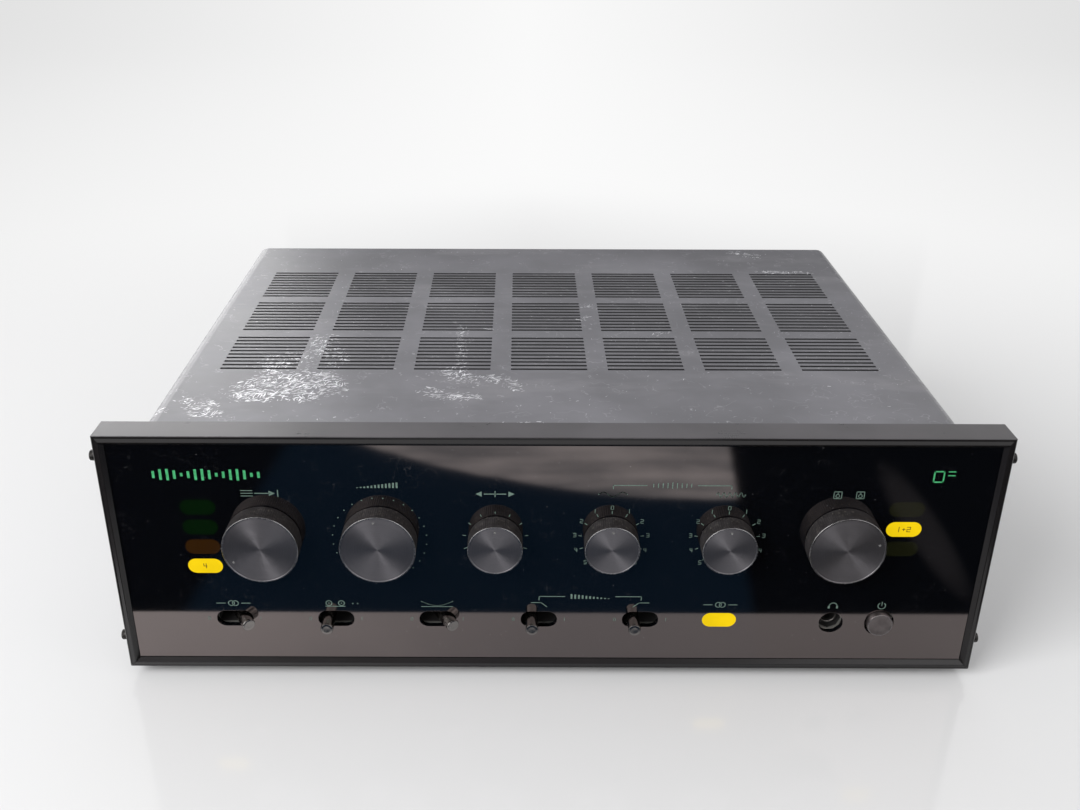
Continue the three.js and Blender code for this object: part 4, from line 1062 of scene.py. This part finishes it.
class AMPLIFIER_OT_knobs(bpy.types.Operator):
    """Turn the six knobs with ribbed sides, spun faces and bright rims"""

    bl_idname = "amplifier.knobs"
    bl_label = "Knobs"

    rest_angles = {"selector": -118, "volume": -5, "balance": 0, "bass": 0, "treble": 0, "speaker": 76}

    def execute(self, context):
        for name in CONTROLS:
            self.knob(name, context.scene.amplifier_knobs)
            paint_nodes(drawn_aluminium, f"{name}_shaft")
        return {"FINISHED"}

    def knob(self, name, settings):
        """The knob stands on its own Z axis, which points out of the front: its finishes take their rings from it."""
        low, high, _ = box_of(f"{name}_knob")
        length = high.y - low.y
        radius = (settings.large_radius if name in LARGE_CONTROLS else settings.small_radius) / MM
        rim = settings.rim / MM
        steps = 4 * round(math.tau * radius / (settings.rib_pitch / MM))
        profile = [
            (0, -0.3), (radius * 0.5, -0.31), (radius - 2 * rim - 0.5, -0.32), (radius - 2 * rim, -0.3),
            (radius - 1.6 * rim, -0.04), (radius - 1.3 * rim, 0), (radius - 0.6 * rim, 0), (radius - 0.12, -0.15),
            (radius, -0.4), (radius, -0.9), (radius, -1.15), (radius, 0.9 - length),
            (radius - 0.1, 0.5 - length), (radius - 0.35, -length), (radius - 1.6, -length), (radius - 1.6, -3.4),
            (6.2, -3.4), (6.0, -length), (3.3, -length), (3.3, -3.3), (0, -3.3),
        ]
        dot = [(0, -0.29), (0.45, -0.28), (0.6, -0.24), (0.66, -0.34)]
        form = bmesh.new()
        turned(form, profile, steps, axis="Z", tags=[0] * 4 + [1] * 3 + [2] * 13,
               ripple=ribs(settings.rib_depth / MM, 10, 11))
        turned(form, dot, 20, at=(0, radius - 2.9 - rim, 0), axis="Z", tags=[3, 3, 0])
        piece(f"{name}_knob_turned", form, f"{name}_control", "knob_metal", knob_face, bright_cut, knob_side,
              index_paint, replaces=[f"{name}_knob"], at=(KNOB_X[name], low.y, joint_place(f"{name}_turn").z),
              turn=facing_front(self.rest_angles[name]), crease=32)


class AMPLIFIER_OT_levers(bpy.types.Operator):
    """Turn the five lever bats"""

    bl_idname = "amplifier.levers"
    bl_label = "Lever switches"

    thrown_angle = 31

    def execute(self, context):
        bat = [(0, -23.4), (1.6, -23.42), (2.7, -23.5), (2.98, -23.42), (3.18, -23.15), (3.26, -22.8), (3.28, -22.3),
               (3.2, -14), (3.08, -8), (3, -3), (0, -3)]
        boss = [(0, -4.4), (3.0, -4.4), (3.38, -4.0), (3.38, 4.0), (3.0, 4.4), (0, 4.4)]
        pin = [(0, -5.8), (1.2, -5.8), (1.2, 5.8), (0, 5.8)]
        for lever in LEVERS:
            lean = math.radians(self.thrown_angle) if lever in THROWN_LEVERS else 0
            form = bmesh.new()
            turned(form, bat, 40)
            turned(form, boss, 32, axis="Z")
            turned(form, pin, 16, axis="Z")
            piece(f"{lever}_turned", form, f"{lever}_bat", "lever_chrome", lever_chrome, replaces=[lever],
                  at=joint_place(f"{lever}_swing"), turn=(0, 0, lean))
        paint_nodes(black_moulding, "lever_switch_bank")
        return {"FINISHED"}


class AMPLIFIER_OT_button_and_jack(bpy.types.Operator):
    """Turn the power button, and the headphone jack's case with its bushing in a well"""

    bl_idname = "amplifier.button_and_jack"
    bl_label = "Power button and jack"

    def execute(self, context):
        self.button(*box_of("power_button"))
        paint_nodes(black_moulding, "power_switch")
        self.jack(*box_of("headphone_jack"))
        return {"FINISHED"}

    def button(self, low, high, middle):
        length = high.y - low.y
        form = bmesh.new()
        profile = [(0, -0.1), (3.0, -0.1), (5.7, -0.12), (6.0, 0), (6.2, -0.02), (6.45, -0.2), (6.58, -0.6),
                   (6.58, -8.3), (6.3, -8.5), (2.5, -8.5), (2.5, -length), (0, -length)]
        turned(form, profile, 64, axis="Z", tags=[0, 0, 0, 1] + [0] * 7)
        piece("power_button_turned", form, "power_push", "button_aluminium", button_face, bright_cut,
              replaces=["power_button"], at=(middle.x, low.y, middle.z), turn=facing_front())

    def jack(self, low, high, middle):
        """A dark moulded case with a thin bright bushing, which stands in its well."""
        depth = high.y - low.y
        bushing, half_case = 1.6, 7.5
        across = (-half_case, half_case)
        outer = rectangle(across, across)
        form = bmesh.new()
        pierced_plate(form, [outer, circle(0, 0, 6)], (0, bushing + 1.6), 0)
        pierced_plate(form, [outer, circle(0, 0, 3.25)], (bushing + 1.5, depth - 2), 0)
        eased_block(form, across, (depth - 2.1, depth), across, 0.4)
        turned(form, [(3.3, depth - 2), (3.3, bushing + 0.9), (3.55, bushing + 0.2), (3.8, bushing),
                      (4.35, bushing), (4.55, bushing + 0.2), (4.6, bushing + 0.6), (4.6, bushing + 1.8)],
               48, tags=[0, 0, 1, 0, 1, 0, 0])
        piece("headphone_jack_turned", form, "chassis", "lever_chrome", black_moulding, lever_chrome,
              replaces=["headphone_jack"], at=(middle.x, low.y, middle.z))


class Marks:
    """Flat printed marks in the XZ plane, a hair in front of a face."""

    strokes_of = {
        "0": [[(0, 0), (1, 0), (1, 1), (0, 1), (0, 0)]],
        "1": [[(0.5, 0), (0.5, 1)]],
        "2": [[(0, 1), (1, 1), (1, 0.5), (0, 0.5), (0, 0), (1, 0)]],
        "3": [[(0, 1), (1, 1), (1, 0), (0, 0)], [(0.2, 0.5), (1, 0.5)]],
        "4": [[(0, 1), (0, 0.45), (1, 0.45)], [(0.75, 1), (0.75, 0)]],
        "5": [[(1, 1), (0, 1), (0, 0.5), (1, 0.5), (1, 0), (0, 0)]],
        "+": [[(0.1, 0.5), (0.9, 0.5)], [(0.5, 0.25), (0.5, 0.75)]],
    }

    def __init__(self, face, line):
        self.form = bmesh.new()
        self.y = face - MARK_GAP
        self.line = line

    def patch(self, corners):
        self.form.faces.new([self.form.verts.new((x, self.y, z)) for x, z in corners])

    def stroke(self, *points, closed=False, line=None):
        """A printed line through the points, square at its ends."""
        half = (line or self.line) / 2
        ends = list(points) + ([points[0]] if closed else [])
        for (x0, z0), (x1, z1) in zip(ends, ends[1:]):
            length = math.hypot(x1 - x0, z1 - z0)
            ux, uz = (x1 - x0) / length * half, (z1 - z0) / length * half
            self.patch([(x0 - ux - uz, z0 - uz + ux), (x0 - ux + uz, z0 - uz - ux),
                        (x1 + ux + uz, z1 + uz - ux), (x1 + ux - uz, z1 + uz + ux)])

    def arc(self, x, z, radius, first=0, last=360, line=THIN_LINE):
        """Part of a ring. Angles are degrees clockwise from the top."""
        half = line / 2
        steps = max(4, round(abs(last - first) / 12))
        turns = [math.radians(first + (last - first) * step / steps) for step in range(steps + 1)]
        for start, end in zip(turns, turns[1:]):
            self.patch([(x + (radius + side * half) * math.sin(turn), z + (radius + side * half) * math.cos(turn))
                        for turn, side in ((start, -1), (start, 1), (end, 1), (end, -1))])

    def dot(self, x, z, radius):
        self.patch(circle(x, z, radius, 12))

    def numeral(self, text, x, z, height):
        """Squared numerals and signs, centred on a point."""
        width = height * 0.6
        step = width * 1.55
        first = x - step * (len(text) - 1) / 2 - width / 2
        for index, sign in enumerate(text):
            for line in self.strokes_of[sign]:
                self.stroke(*[(first + index * step + px * width, z - height / 2 + pz * height) for px, pz in line],
                            line=height * 0.14)

    def bracket(self, first, last, z, drop, gap):
        """A bracket over a pair of controls, open in its middle."""
        middle = (first + last) / 2
        for x, end in ((first, middle - gap), (last, middle + gap)):
            self.stroke((x, z - drop), (x, z), (end, z), line=THIN_LINE)

    def finished(self, name, recipe):
        """The marks as a piece, which faces the front."""
        bmesh.ops.remove_doubles(self.form, verts=self.form.verts, dist=1e-5)
        for face in self.form.faces:
            face.normal_update()
            if face.normal.y > 0:
                face.normal_flip()
        made = place_mesh(name, self.form, "chassis", [recipe], (0, 0, 0), (0, 0, 0), 35)


class AMPLIFIER_OT_prints(bpy.types.Operator):
    """Print the dials, ticks and plain signs on the front plate and the lit windows"""

    bl_idname = "amplifier.prints"
    bl_label = "Printed marks"

    def execute(self, context):
        settings = context.scene.amplifier_prints
        line = settings.line / MM
        marks = Marks(PLATE_FACE, line)
        self.tick_dial(marks, KNOB_X["bass"], settings.numeral / MM)
        self.tick_dial(marks, KNOB_X["treble"], settings.numeral / MM)
        self.tick_dial(marks, KNOB_X["balance"])
        self.volume_dial(marks, settings.volume_dots)
        self.knob_signs(marks)
        self.lower_signs(marks)
        for x in SLOT_X:
            marks.numeral("0", x - 13.2, LEVER_ROW, 1.7)
            marks.numeral("1", x + 13.2, LEVER_ROW, 1.7)
        marks.finished("front_marks", printed_ink)
        green = Marks(PLATE_FACE, line * 1.6)
        self.green_signs(green)
        green.finished("green_marks", green_ink)
        dark = Marks(box_of("input_lens_bar")[0].y, line)
        dark.numeral("4", *windows_of("input_lens_bar")[LIT_ROWS["input_lens_bar"]], 2.6)
        dark.numeral("1+2", *windows_of("speaker_lens_bar")[LIT_ROWS["speaker_lens_bar"]], 2.6)
        dark.finished("window_marks", dark_ink)
        return {"FINISHED"}

    def tick_dial(self, marks, x, numeral_height=None):
        """Eleven ticks: with numerals 5 to 0 to 5, or else growing to either side."""
        for step in range(-5, 6):
            angle = math.radians(step * 27.4)
            sin, cos = math.sin(angle), math.cos(angle)
            outer = 15.6 + abs(step) * 0.22
            if numeral_height:
                marks.numeral(str(abs(step)), x + 18.3 * sin, KNOB_ROW + 18.3 * cos, numeral_height)
                outer = 16.2
            marks.stroke((x + 14.9 * sin, KNOB_ROW + 14.9 * cos), (x + outer * sin, KNOB_ROW + outer * cos),
                         line=marks.line * 0.8)

    def volume_dial(self, marks, count):
        for step in range(count):
            angle = math.radians(-150 + 300 * step / (count - 1))
            marks.dot(KNOB_X["volume"] + 23.4 * math.sin(angle), KNOB_ROW + 23.4 * math.cos(angle), 0.32)

    def knob_signs(self, marks):
        """Plain signs over the knobs: inputs, level, sides, low and high tones, loudspeakers."""
        high = KNOB_ROW + 25.8
        x = KNOB_X["selector"]
        for row in (-1.5, 0, 1.5):
            marks.stroke((x - 9, high + row), (x - 3.4, high + row), line=THIN_LINE)
        marks.stroke((x - 2.2, high), (x + 5.2, high))
        marks.patch([(x + 4.6, high + 1.5), (x + 4.6, high - 1.5), (x + 7.6, high)])
        marks.stroke((x + 9, high + 1.7), (x + 9, high - 1.7))
        x, top = KNOB_X["volume"], KNOB_ROW + 30.4
        for step in range(12):
            marks.patch(rectangle((x - 10 + step * 1.75, x - 9.1 + step * 1.75), (top - 1.4, top - 1.1 + step * 0.26)))
        x = KNOB_X["balance"]
        marks.patch([(x - 9.5, high), (x - 6.5, high + 1.5), (x - 6.5, high - 1.5)])
        marks.patch([(x + 9.5, high), (x + 6.5, high - 1.5), (x + 6.5, high + 1.5)])
        marks.stroke((x - 5.2, high), (x + 5.2, high))
        marks.stroke((x, high - 1.4), (x, high + 1.4))
        for name, waves in (("bass", 1.5), ("treble", 5)):
            marks.stroke(*[(KNOB_X[name] - 7 + 14 * step / 40, high + 1.3 * math.sin(math.tau * waves * step / 40))
                           for step in range(41)], line=THIN_LINE)
        top = KNOB_ROW + 30.9
        marks.bracket(KNOB_X["bass"], KNOB_X["treble"], top, 1.8, 12.5)
        for step in range(-4, 5):
            x, reach = (KNOB_X["bass"] + KNOB_X["treble"]) / 2 + step * 2.3, 1.5 - abs(step) * 0.18
            marks.stroke((x, top - reach), (x, top + reach), line=0.45)
        for x in (KNOB_X["speaker"] - 5.5, KNOB_X["speaker"] + 5.5):
            marks.stroke(*rectangle((x - 1.9, x + 1.9), (high - 1.9, high + 1.9)), closed=True, line=THIN_LINE)
            marks.arc(x, high - 0.4, 0.9, line=0.35)
            marks.dot(x, high + 1.2, 0.3)

    def lower_signs(self, marks):
        """Plain signs over the levers, the stereo window, the jack and the button."""
        high = LEVER_ROW + 9.4
        for x in (SLOT_X[0], box_of("stereo_lens")[2].x):
            marks.arc(x - 1.0, high, 1.5)
            marks.arc(x + 1.0, high, 1.5)
            for side in (-1, 1):
                marks.stroke((x + side * 4.2, high), (x + side * 8.5, high), line=THIN_LINE)
        x = SLOT_X[1]
        for reel in (x - 3.2, x + 3.2):
            marks.arc(reel, high + 0.2, 1.5)
            marks.dot(reel, high + 0.2, 0.35)
        marks.stroke((x - 4.9, high - 1.75), (x + 4.9, high - 1.75), line=THIN_LINE)
        marks.dot(x + 9, high, 0.35)
        marks.dot(x + 11.5, high, 0.35)
        x = SLOT_X[2]
        marks.stroke(*[(x - 8 + 16 * step / 24, high + 1.5 - 2.6 * math.sin(math.pi * step / 24))
                       for step in range(25)], line=THIN_LINE)
        marks.stroke((x - 8, high - 1.7), (x + 8, high - 1.7), line=0.35)
        first, last, top = SLOT_X[3], SLOT_X[4], LEVER_ROW + 14.2
        marks.bracket(first, last, top, 2.2, 13)
        x = (first + last) / 2
        for step in range(11):
            marks.patch(rectangle((x - 10 + step * 1.9, x - 9.1 + step * 1.9), (top - 1.4, top + 1.5 - step * 0.26)))
        marks.stroke((first - 4, high + 1), (first + 1, high + 1), (first + 4, high - 1.5), line=THIN_LINE)
        marks.stroke((last - 4, high - 1.5), (last - 1, high + 1), (last + 4, high + 1), line=THIN_LINE)
        x = JACK_MIDDLE.x
        marks.arc(x, high - 0.6, 2.0, -90, 90)
        for near, far in ((x - 2.6, x - 1.6), (x + 1.6, x + 2.6)):
            marks.patch(rectangle((near, far), (high - 2.0, high - 0.4)))
        x = BUTTON_MIDDLE.x
        marks.arc(x, high - 0.3, 1.9, 35, 325, 0.45)
        marks.stroke((x, high - 0.1), (x, high + 2.0), line=0.45)

    def green_signs(self, marks):
        """A row of bars at the upper left, and a small square with a tick at the upper right."""
        row = 120.4
        for step in range(16):
            x = -194 + step * 3.4
            half = (1.2 + 5.2 * abs(math.sin(0.55 + step * 0.62))) / 2
            marks.patch(rectangle((x, x + 1.3), (row - half, row + half)))
        marks.stroke(*rectangle((184.3, 189.0), (117.6, 123.4)), closed=True, line=0.75)
        for z in (121.2, 123.3):
            marks.stroke((191.2, z), (194.2, z), line=0.6)


class AMPLIFIER_OT_cover(bpy.types.Operator):
    """Finish the folded cover and screw it down at its sides"""

    bl_idname = "amplifier.cover"
    bl_label = "Cover"

    screw_inset, screw_height = 42, 22

    def execute(self, context):
        paint_nodes(cover_enamel, "top_cover")
        low, high, _ = box_of("top_cover")
        profile = [(0, -0.9), (1.1, -1.1), (1.6, -1.9), (2.6, -1.75), (3.4, -1.2), (3.7, -0.6), (3.7, -0.35),
                   (4.6, -0.35), (4.8, -0.2), (4.8, 0), (0, 0.01)]
        for side, x in zip(SIDES, (low.x, high.x)):
            for row, y in (("front", low.y + self.screw_inset), ("rear", high.y - self.screw_inset)):
                form = bmesh.new()
                turned(form, profile, 32, axis="X")
                piece(f"cover_screw_{side}_{row}", form, "chassis", "lever_chrome", screw_steel,
                      at=(x, y, self.screw_height), turn=inward_from(side))
        return {"FINISHED"}


class AMPLIFIER_OT_underside(bpy.types.Operator):
    """Finish the tray and mould the feet"""

    bl_idname = "amplifier.underside"
    bl_label = "Tray and feet"

    def execute(self, context):
        paint_nodes(zinc_plate, "base_tray")
        screw = [(0, 2.4), (2.4, 2.4), (3.2, 3.0), (3.4, 4.0), (0, 4.0)]
        for node in (f"foot_{row}_{side}" for row in ("front", "rear") for side in SIDES):
            _, high, middle = box_of(node)
            profile = [(0, 4.0), (5.9, 4.0), (6.1, 0.5), (6.5, 0), (15.9, 0), (16.6, 0.25), (17.4, 1.2),
                       (18.3, 4.5), (19.2, 7.6), (19.9, 8.6), (19.9, high.z), (0, high.z)]
            form = bmesh.new()
            turned(form, profile, 64, axis="Z", tags=[1] + [0] * 10)
            turned(form, screw, 24, axis="Z", tags=[1] * 4)
            piece(f"{node}_moulding", form, "chassis", "foot_rubber", foot_rubber, screw_steel, replaces=[node],
                  at=(middle.x, middle.y, 0))
        return {"FINISHED"}


class AMPLIFIER_OT_rear(bpy.types.Operator):
    """Finish the rear panel and make its jacks, terminals, earth post, fuse holder and mains inlet"""

    bl_idname = "amplifier.rear"
    bl_label = "Rear panel"

    def execute(self, context):
        settings = context.scene.amplifier_rear
        paint_nodes(rear_enamel, "rear_panel", ease=0.15)
        self.jacks(settings, *box_of("input_jack_panel"))
        self.terminals(settings, *box_of("speaker_terminals"))
        self.earth_post(*box_of("earth_post"))
        self.fuse_holder(*box_of("fuse_holder"))
        self.mains_inlet(*box_of("mains_inlet"))
        self.panel_screws(*box_of("rear_panel")[:2])
        return {"FINISHED"}

    def grid(self, middle, columns, pitch):
        """The places of two rows of connectors, and whether each is in the upper row."""
        for column in range(columns):
            for row in (-0.5, 0.5):
                yield middle.x + (column - (columns - 1) / 2) * pitch, middle.z + row * pitch, row > 0

    def jacks(self, settings, low, high, middle):
        """White input jacks over red ones, on an insulating plate."""
        plate, radius, tip = low.y + 2, settings.jack_radius / MM, high.y
        sleeve = [(radius + 1.4, plate - 0.2), (radius + 1.4, plate + 0.8), (radius + 0.2, plate + 0.8),
                  (radius, plate + 1.0), (radius, tip - 0.4), (radius - 0.3, tip - 0.02),
                  (radius - 0.7, tip - 0.02), (radius - 0.9, tip - 0.4), (radius - 0.9, tip - 3)]
        core = [(radius - 0.85, tip - 1.2), (1.75, tip - 1.2), (1.7, tip - 1.5), (1.7, tip - 6), (0, tip - 6)]
        form = bmesh.new()
        eased_block(form, (low.x, high.x), (low.y, plate), (low.z, high.z), 0.4)
        for x, z, upper in self.grid(middle, settings.columns, settings.jack_pitch / MM):
            colour = 2 if upper else 3
            turned(form, sleeve, 32, at=(x, 0, z), tags=[1] * 8)
            turned(form, core, 32, at=(x, 0, z), tags=[colour, colour, 1, 1])
        piece("input_jacks_finished", form, "chassis", "phenolic", phenolic_plate, lever_chrome, white_moulding,
              red_moulding, replaces=["input_jack_panel"])

    def terminals(self, settings, low, high, middle):
        """Red screw terminals over black ones, with ribbed caps."""
        plate, radius, tip = low.y + 2.5, settings.cap_radius / MM, high.y
        cap = [(radius, plate - 0.2), (radius, plate + 0.9), (radius - 0.5, plate + 1.1), (radius, plate + 1.6),
               (radius, tip - 0.9), (radius - 0.5, tip - 0.3), (radius - 1.4, tip), (radius - 2.0, tip - 0.1),
               (radius - 2.6, tip - 0.8), (0, tip - 0.8)]
        form = bmesh.new()
        eased_block(form, (low.x, high.x), (low.y, plate), (low.z, high.z), 0.5)
        for x, z, upper in self.grid(middle, settings.columns, settings.terminal_pitch / MM):
            turned(form, cap, 96, at=(x, 0, z), tags=[1 if upper else 2] * 8 + [3], ripple=ribs(0.25, 3, 4))
        piece("speaker_terminals_finished", form, "chassis", "black_plastic", black_moulding, red_moulding,
              black_moulding, lever_chrome, replaces=["speaker_terminals"])

    def earth_post(self, low, high, middle):
        """A stud with a ribbed nut."""
        tip = high.y
        profile = [(0, low.y), (2, low.y), (2, tip - 4.9), (4.5, tip - 4.9), (4.5, tip - 4.4), (4.5, tip - 0.8),
                   (4.0, tip - 0.3), (2.2, tip - 0.3), (2.0, tip), (0, tip)]
        form = bmesh.new()
        turned(form, profile, 96, ripple=ribs(0.3, 4, 5))
        piece("earth_post_turned", form, "chassis", "zinc_steel", lever_chrome, replaces=["earth_post"],
              at=(middle.x, 0, middle.z))

    def fuse_holder(self, low, high, middle):
        """A ribbed cap with a bright slot."""
        tip = high.y
        profile = [(0, low.y), (6, low.y), (6, tip - 8.4), (7.4, tip - 8.4), (7.4, tip - 5.6), (6.9, tip - 5.2),
                   (6.9, tip - 4.9), (5.9, tip - 4.6), (5.7, tip - 0.6), (5.2, tip), (2.8, tip), (2.6, tip - 0.7),
                   (0, tip - 0.7)]
        form = bmesh.new()
        turned(form, profile, 96, ripple=ribs(0.22, 7, 8))
        eased_block(form, (-2.4, 2.4), (tip - 0.9, tip - 0.25), (-0.45, 0.45), 0.1, 1)
        piece("fuse_holder_finished", form, "chassis", "black_plastic", black_moulding, lever_chrome,
              replaces=["fuse_holder"], at=(middle.x, 0, middle.z))

    def mains_inlet(self, low, high, middle):
        """A recess with two pins, in a flange with two screws."""
        face, screw_x, pin_x = high.y, 13.6, 4.3
        recess = stadium(0, 0, 20, 11)
        flange = [rectangle((-17, 17), (-10.5, 10.5)), recess, circle(-screw_x, 0, 1.7, 24),
                  circle(screw_x, 0, 1.7, 24)]
        pin = [(0, low.y + 1.5), (1.2, low.y + 1.5), (1.2, low.y + 10.6), (0.8, low.y + 11.5), (0, low.y + 11.8)]
        screw = [(0, face + 0.02), (0.6, face + 0.02), (1.0, face - 0.25), (1.6, face - 0.1), (1.62, face - 0.6),
                 (0, face - 0.6)]
        form = bmesh.new()
        pierced_plate(form, flange, (face, face - 2.5), 0.3)
        pierced_plate(form, [stadium(0, 0, 23.4, 14.4), recess], (face - 2.4, face - 14), 0)
        eased_block(form, (-11.7, 11.7), (low.y, low.y + 1.9), (-7.2, 7.2), 0.2)
        for side in (-1, 1):
            turned(form, pin, 24, at=(side * pin_x, 0, 0), tags=[1] * 4)
            turned(form, screw, 24, at=(side * screw_x, 0, 0), tags=[2] * 5)
        piece("mains_inlet_finished", form, "chassis", "black_plastic", black_moulding, lever_chrome, screw_steel,
              replaces=["mains_inlet"], at=(middle.x, 0, middle.z))

    def panel_screws(self, low, high):
        """Cross-recessed pan heads along the panel's edges, which hold it to the tray and the cover's flanges."""
        pan = [(0, 1.0), (0.8, 1.0), (0.9, 1.75), (1.7, 1.7), (2.5, 1.35), (2.95, 0.8), (3.0, 0.1), (3.6, 0.1),
               (3.7, -0.05)]
        form = bmesh.new()
        for x in (low.x + 14, low.x + 132, high.x - 132, high.x - 14):
            for z in (low.z + 8, high.z - 9):
                turned(form, pan, 32, at=(x, high.y, z))
                for width, height in ((2.6, 0.5), (0.5, 2.6)):
                    eased_block(form, around(x, width), (high.y + 1.65, high.y + 1.76), around(z, height), 0.04, 1)
        piece("rear_screws", form, "chassis", "zinc_steel", screw_steel, black_moulding)


class AMPLIFIER_OT_inside(bpy.types.Operator):
    """Finish what the vents show: transformer, capacitors, boards, heat sink and control cases"""

    bl_idname = "amplifier.inside"
    bl_label = "Inside"

    def execute(self, context):
        paint_nodes(core_iron, "transformer_core")
        paint_nodes(winding_tape, "transformer_winding")
        paint_nodes(circuit_board, "power_amplifier_board", "preamplifier_board")
        paint_nodes(drawn_aluminium, "heat_sink")
        paint_nodes(zinc_plate, "selector_switch", "speaker_switch", *[f"{name}_pot" for name in CONTROLS[1:5]])
        for node in ("capacitor_front", "capacitor_rear"):
            self.capacitor(node, *box_of(node))
        self.board_parts(*box_of("power_amplifier_board")[:2])
        return {"FINISHED"}

    def capacitor(self, node, low, high, middle):
        """A sleeved can with its vent pressed into the top as a star of three."""
        height = high.z - low.z
        profile = [(0, 0), (17.2, 0), (17.45, 0.4), (17.45, 8), (16.4, 9), (17.45, 10), (17.45, height - 1.2),
                   (17.0, height - 0.3), (16.2, height), (14.8, height), (14.4, height - 0.6), (0, height - 0.6)]
        form = bmesh.new()
        turned(form, profile, 64, axis="Z", tags=[0] * 9 + [1, 1])
        for turn in range(3):
            reach = Matrix.Rotation(turn * math.tau / 3, 3, "Z") @ Vector((5, 0, 0))
            eased_block(form, around(reach.x, 7 if turn == 0 else 4), around(reach.y, 0.5 if turn == 0 else 5),
                        (height - 0.65, height - 0.5), 0.05, 1)
        piece(f"{node}_sleeved", form, "chassis", "capacitor_sleeve", capacitor_sleeve, can_top, replaces=[node],
              at=(middle.x, middle.y, low.z))

    def board_parts(self, low, high):
        """Resistors, small capacitors and transistors in rows on the power amplifier's board."""
        can = [(0, 0), (3.6, 0), (3.9, 0.5), (3.9, 9.5), (3.5, 10.2), (0, 10.2)]
        resistor = [(0, -5), (1.1, -5), (1.5, -4.4), (1.3, -3), (1.3, 3), (1.5, 4.4), (1.1, 5), (0, 5)]
        wire = [(0, -7), (0.35, -7), (0.35, 7), (0, 7)]
        top = high.z
        form = bmesh.new()
        for column in range(9):
            for row in range(4):
                x = low.x + 16 + column * 17
                y = low.y + 14 + row * 22 + (column % 2) * 3
                kind = (column * 3 + row * 5) % 4
                if kind == 0:
                    turned(form, can, 20, at=(x, y, top), axis="Z", tags=[0, 0, 0, 0, 1])
                elif kind == 3:
                    eased_block(form, around(x, 8), around(y, 4), (top, top + 9), 0.4, 3)
                else:
                    turned(form, resistor, 16, at=(x, y, top + 1.8), axis="X", tags=[2] * 7)
                    turned(form, wire, 8, at=(x, y, top + 1.8), axis="X", tags=[1] * 3)
        piece("board_parts", form, "chassis", "circuit_board", capacitor_sleeve, can_top, winding_tape,
              black_moulding)


class AMPLIFIER_PT_panel(bpy.types.Panel):
    """The amplifier's pieces and their settings"""

    bl_idname = "AMPLIFIER_PT_panel"
    bl_label = "Integrated amplifier"
    bl_space_type = "VIEW_3D"
    bl_region_type = "UI"
    bl_category = "Amplifier"

    def draw(self, context):
        for operator in OPERATORS:
            self.layout.operator(operator.bl_idname)
        for name in SETTINGS:
            group = getattr(context.scene, name)
            box = self.layout.box()
            for prop in group.bl_rna.properties:
                if prop.identifier not in {"name", "rna_type"}:
                    box.prop(group, prop.identifier)


SETTINGS = {
    "amplifier_stage": StageSettings,
    "amplifier_finishes": FinishSettings,
    "amplifier_knobs": KnobSettings,
    "amplifier_prints": PrintSettings,
    "amplifier_rear": RearSettings,
}
OPERATORS = (
    AMPLIFIER_OT_stage,
    AMPLIFIER_OT_frame,
    AMPLIFIER_OT_front_plate,
    AMPLIFIER_OT_windows,
    AMPLIFIER_OT_knobs,
    AMPLIFIER_OT_levers,
    AMPLIFIER_OT_button_and_jack,
    AMPLIFIER_OT_prints,
    AMPLIFIER_OT_cover,
    AMPLIFIER_OT_underside,
    AMPLIFIER_OT_rear,
    AMPLIFIER_OT_inside,
)


def register():
    for name, group in SETTINGS.items():
        bpy.utils.register_class(group)
        setattr(bpy.types.Scene, name, PointerProperty(type=group))
    for made in (*OPERATORS, AMPLIFIER_PT_panel):
        bpy.utils.register_class(made)


def unregister():
    for made in (AMPLIFIER_PT_panel, *reversed(OPERATORS)):
        bpy.utils.unregister_class(made)
    for name, group in SETTINGS.items():
        delattr(bpy.types.Scene, name)
        bpy.utils.unregister_class(group)


def main():
    register()
    for operator in OPERATORS:
        group, name = operator.bl_idname.split(".")
        getattr(getattr(bpy.ops, group), name)()


if __name__ == "__main__":
    main()
